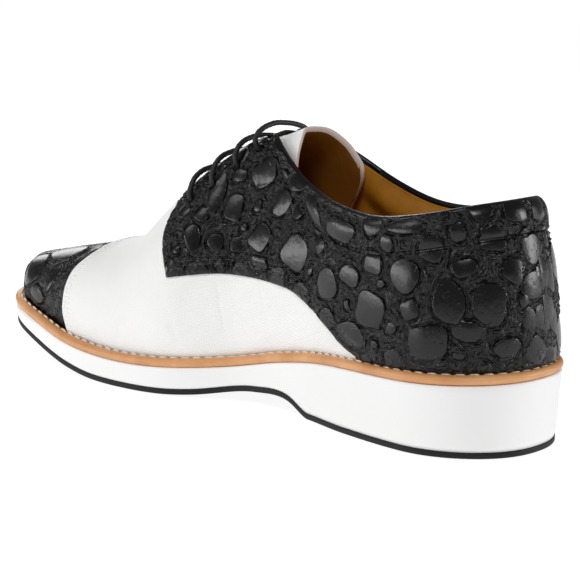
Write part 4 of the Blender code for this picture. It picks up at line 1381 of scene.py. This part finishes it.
# Tongue
# White calf backed with tan leather, cut with raw edges and sewn under the throat; it stands a little proud.
# The cut edge shows the pinkish grey core of the hide.
TONGUE_TOP_EDGE = {
    "share": (-0.62, -0.45, -0.36, -0.24, -0.12, 0.00, 0.06, 0.15, 0.29, 0.42, 0.51, 0.56, 0.63),
    "place": (0.415, 0.416, 0.417, 0.420, 0.425, 0.428, 0.426, 0.416, 0.401, 0.384, 0.373, 0.376, 0.400),
}
TONGUE_FOOT = 0.680
TONGUE_WIDTH = {
    "share": (0.00, 0.06, 0.14, 0.24, 0.50, 1.00),
    "half": (0.61, 0.70, 0.76, 0.71, 0.52, 0.34),
}
TONGUE_OUTSIDE = -2.9
TONGUE_UNDER_ROLL = 1.5
TONGUE_FOOT_RISE = 2.0
TONGUE_THICKNESS = 2.2
TONGUE_SKIVE = 1.6
TONGUE_SIDE_SKIVE = 0.5
TONGUE_EDGE_PART = 0.3
TONGUE_RAW_PART = 0.75
TONGUE_ROLL_GIRTH = (0.35, 0.58)
TONGUE_ROLL_END = (0.47, 0.52)
TONGUE_FOOT_ZONE = (0.575, 0.63)
TONGUE_STEPS = 121

# Raw leather edge: the pale pinkish fibre of the hide's core, matt and a little furry
raw_edge = new_material("raw_cut_leather_edge")
place = add_node(raw_edge, "ShaderNodeTexCoord")
fibre = add_node(raw_edge, "ShaderNodeTexNoise", inputs={
    "Vector": place.outputs["Object"], "Scale": per_metre(0.8), "Detail": 4.0})
tint = add_node(raw_edge, "ShaderNodeMix", {"data_type": "RGBA"}, {
    "Factor": fibre.outputs["Fac"], 6: linear("#BFAEA4"), 7: linear("#DCCFC7")})
bump = add_node(raw_edge, "ShaderNodeBump", inputs={
    "Height": fibre.outputs["Fac"], "Strength": 0.6, "Distance": 0.0002})
shader = add_node(raw_edge, "ShaderNodeBsdfPrincipled", inputs={
    "Base Color": tint.outputs[2], "Roughness": 0.85, "Normal": bump.outputs["Normal"]})
add_node(raw_edge, "ShaderNodeOutputMaterial", inputs={"Surface": shader.outputs["BSDF"]})

# The tongue's backing is the same lining leather, coloured darker and browner as painted shade for the
# tongue's underside
shaded_lining = lining_leather.copy()
shaded_lining.name = "lining_leather_painted_shade"
shaded_tint = next(node for node in shaded_lining.node_tree.nodes if node.type == "VALTORGB")
shaded_tint.color_ramp.elements[0].color = linear("#7A4A14")
shaded_tint.color_ramp.elements[1].color = linear("#98641F")

down = np.linspace(0, 1, TONGUE_STEPS)[:, None]
girth = np.linspace(-1, 1, TONGUE_STEPS)[None, :] * along(TONGUE_WIDTH, "half", down)
top_edge = along(TONGUE_TOP_EDGE, "place", girth)
share = top_edge + (TONGUE_FOOT - top_edge) * down
rise = 1 - np.abs(girth)
wall = np.where((girth < 0)[..., None], last(MEDIAL, share, rise), last(LATERAL, share, rise))
normal = outwards(wall, MEDIAL)
to_side = np.minimum(run_up(wall), run_up(wall)[:, -1:] - run_up(wall))
to_edge = np.minimum(TONGUE_SIDE_SKIVE * to_side, run_along(wall))
skived = TONGUE_EDGE_PART + (1 - TONGUE_EDGE_PART) * ease(to_edge, 0, TONGUE_SKIVE)
under_roll = ease(np.abs(girth), *TONGUE_ROLL_GIRTH) * (1 - ease(share, *TONGUE_ROLL_END))
foot_rise = TONGUE_FOOT_RISE * ease(share, *TONGUE_FOOT_ZONE)
outside = TONGUE_OUTSIDE - TONGUE_UNDER_ROLL * under_roll + foot_rise
face = wall + normal * outside[..., None]
back = wall + normal * (outside - TONGUE_THICKNESS * skived)[..., None]
sheet = Sheet(face, back, True, None, False)
tongue, kinds = make_leather("tongue_flap", [sheet], woven_calf, ["tongue"],
                             marks={"warp": [face[..., 1]], "weft": [face[..., 0]]})
# The back faces take the darker copy of the lining, which paints in the shade under the tongue
tongue.data.materials.append(shaded_lining)
tongue.data.materials.append(raw_edge)
raw = (to_edge[:-1, :-1] < TONGUE_RAW_PART * TONGUE_SKIVE).ravel()
backs = np.flatnonzero(kinds == BACK_FACE)
kinds[backs[raw]] = CUT_FACE
tongue.data.polygons.foreach_set("material_index", kinds)

# Laces
# Black round cord of braided, waxed cotton, in bars across the throat through four pairs of punched holes.
# The top bar is left slack and stands up in an arch; the ends are tucked away inside.
LACE_RADIUS = 1.3
LACE_STRANDS = 8
LACE_BRAID = 0.1
LACE_BRAID_PITCH = 5.0
LACE_MOUTH = 1.9
LACE_DIP = 1.5
SHARE_STEP = 0.002
RISE_STEP = 0.004
LACE_CREST = (3.9, 1.6, 0.5, 0.4)
LACE_SWAY = (0.26, 0.07, 0.0, -0.04)
LACE_ARCH = ((0.00, 0.10), (0.00, 0.36), (0.13, 0.66), (0.38, 0.87), (0.68, 0.96))

# Braided waxed cotton: deep black with a low sheen broken by the braid
waxed_cotton = new_material("braided_waxed_cotton")
shader = add_node(waxed_cotton, "ShaderNodeBsdfPrincipled", inputs={
    "Base Color": linear("#111112"), "Roughness": 0.55})
add_node(waxed_cotton, "ShaderNodeOutputMaterial", inputs={"Surface": shader.outputs["BSDF"]})


def smooth_route(stops, steps=14):
    """A smooth path through a few stops."""
    stops = np.asarray(stops, float)
    padded = np.concatenate([2 * stops[:1] - stops[1:2], stops, 2 * stops[-1:] - stops[-2:-1]])
    t = np.linspace(0, 1, steps, endpoint=False)[:, None]
    path = []
    for a, b, c, d in zip(padded, padded[1:], padded[2:], padded[3:]):
        path.append(b + t / 2 * (c - a + t * (2 * a - 5 * b + 4 * c - d + t * (3 * b - 3 * c + d - a))))
    return np.concatenate(path + [stops[-1:]])


def cord_mesh(path, radius, around=16):
    """Points and faces of a braided cord along a path, closed at both ends."""
    forward = unit(np.gradient(path, axis=0))
    across = unit(np.cross(forward, [0.0, 1.0, 0.0]))
    upward = np.cross(across, forward)
    turn = np.linspace(0, 2 * np.pi, around, endpoint=False)
    twist = 2 * np.pi * travel(path)[:, None] / LACE_BRAID_PITCH
    weave = np.sin(LACE_STRANDS / 2 * turn + twist) * np.sin(LACE_STRANDS / 2 * turn - twist)
    thick = (radius - LACE_BRAID + LACE_BRAID * weave)[..., None]
    ring = across[:, None] * np.cos(turn)[:, None] + upward[:, None] * np.sin(turn)[:, None]
    points = (path[:, None] + thick * ring).reshape(-1, 3)
    return points, tube_faces(len(path), around, flip=True)


def off_wall(side, share, rise, distance):
    """A point at a distance outside the wall."""
    around = np.array([-1.0, 0.0, 1.0])
    grid = last(side, share + SHARE_STEP * around[:, None], rise + RISE_STEP * around[None, :])
    return grid[1, 1] + outwards(grid, side)[1, 1] * distance


for bar, (share, rise) in enumerate(EYELETS):
    crest = last(MEDIAL, share, 1.0) + np.array([0.0, 0.0, LACE_CREST[bar]])
    stops = []
    for side in (MEDIAL, LATERAL):
        mouth = off_wall(side, share, rise, LACE_MOUTH)
        run = [off_wall(side, share, rise, -LACE_DIP)]
        for inward, climb in LACE_ARCH:
            across = inward - LACE_SWAY[bar] * np.sin(np.pi * climb) * (1 - inward)
            run.append(mouth + (crest - mouth) * np.array([across, climb, climb]))
        stops += run + [crest] if side == MEDIAL else run[::-1]
    points, faces = cord_mesh(smooth_route(stops), LACE_RADIUS)
    make_piece(f"lace_{bar + 1}", points, faces, waxed_cotton, [f"lace_bar_{bar + 1}"])

# Floor and studio
# A plain white floor that glows like a lit table and runs back without an edge.
# One broad overhead light and four soft boxes stand round it, out of the camera's sight.
FLOOR_REACH = 30.0
FLOOR_DROP = 0.0005
SHOE_MIDDLE = Vector((0.0, 0.0, 0.06))
SUN_FROM = Vector((-0.555, -0.374, 0.743))

# Matt white board: it glows evenly, so it stays white and only a faint shadow shows under the shoe
matt_board = new_material("matt_white_board")
shader = add_node(matt_board, "ShaderNodeBsdfPrincipled", inputs={
    "Base Color": linear("#808080"), "Roughness": 0.9,
    "Emission Color": linear("#FFFFFF"), "Emission Strength": 0.92})
add_node(matt_board, "ShaderNodeOutputMaterial", inputs={"Surface": shader.outputs["BSDF"]})
floor_mesh = bpy.data.meshes.new("studio_floor")
corners = [(-FLOOR_REACH, -FLOOR_REACH, 0), (FLOOR_REACH, -FLOOR_REACH, 0),
           (FLOOR_REACH, FLOOR_REACH, 0), (-FLOOR_REACH, FLOOR_REACH, 0)]
floor_mesh.from_pydata(corners, [], [(0, 1, 2, 3)])
floor_mesh.materials.append(matt_board)
floor = bpy.data.objects.new("studio_floor", floor_mesh)
bpy.context.collection.objects.link(floor)
floor.location.z = -FLOOR_DROP

world = bpy.context.scene.world or bpy.data.worlds.new("studio")
bpy.context.scene.world = world
world.use_nodes = True
world.node_tree.nodes.clear()
shading = add_node(world, "ShaderNodeBackground", inputs={"Color": linear("#FFFFFF"), "Strength": 0.15})
seen = add_node(world, "ShaderNodeBackground", inputs={"Color": linear("#FFFFFF"), "Strength": 1.0})
path_kind = add_node(world, "ShaderNodeLightPath")
mixed = add_node(world, "ShaderNodeMixShader", inputs={
    0: path_kind.outputs["Is Camera Ray"], 1: shading.outputs[0], 2: seen.outputs[0]})
add_node(world, "ShaderNodeOutputWorld", inputs={"Surface": mixed.outputs[0]})


def soft_box(name, azimuth, elevation, distance, size, radiance):
    """A soft box facing the shoe, unseen by the camera; its azimuth turns from +Y towards +X."""
    light = bpy.data.lights.new(name, "AREA")
    light.shape = "RECTANGLE"
    light.size, light.size_y = size
    light.energy = radiance * np.pi * size[0] * size[1]
    box = bpy.data.objects.new(name, light)
    bpy.context.collection.objects.link(box)
    turn, lift = np.radians([azimuth, elevation])
    away = Vector((np.sin(turn) * np.cos(lift), np.cos(turn) * np.cos(lift), np.sin(lift)))
    box.location = SHOE_MIDDLE + away * distance
    box.rotation_euler = away.to_track_quat("Z", "Y").to_euler()
    box.visible_camera = False


sun = bpy.data.lights.new("overhead", "SUN")
sun.energy = 1.0
sun.angle = 0.35
overhead = bpy.data.objects.new("overhead", sun)
bpy.context.collection.objects.link(overhead)
overhead.rotation_euler = SUN_FROM.to_track_quat("Z", "Y").to_euler()
soft_box("left_panel", -46.0, 4.5, 1.7, (1.25, 0.24), 7.0)
soft_box("back_panel", 32.0, 21.0, 1.7, (1.0, 0.7), 3.8)
soft_box("left_box", -55.0, 38.0, 1.5, (0.5, 0.5), 3.8)
soft_box("right_box", 142.0, 11.0, 1.5, (0.45, 0.5), 9.5)

# Camera
# The photo's view: low, from behind on the medial side, with a long lens.
# It is shifted a little, because the shoe stands off the middle of the picture.
CAMERA_PLACE = (-580.5, -395.0, 199.9)
CAMERA_TARGET = (0.0, 151.0, 50.0)
CAMERA_LENS = 111.39
CAMERA_SENSOR = 36.0
CAMERA_SHIFT = (0.0386, -0.0138)
camera_data = bpy.data.cameras.new("photo_view")
camera_data.lens = CAMERA_LENS
camera_data.sensor_width = CAMERA_SENSOR
camera_data.shift_x, camera_data.shift_y = CAMERA_SHIFT
camera_data.clip_end = 100.0
camera = bpy.data.objects.new("photo_view", camera_data)
bpy.context.collection.objects.link(camera)
camera.location = to_frame(CAMERA_PLACE)
aim = Vector(to_frame(CAMERA_TARGET)) - camera.location
camera.rotation_euler = aim.to_track_quat("-Z", "Y").to_euler()
bpy.context.scene.camera = camera
bpy.context.scene.view_settings.view_transform = "Standard"
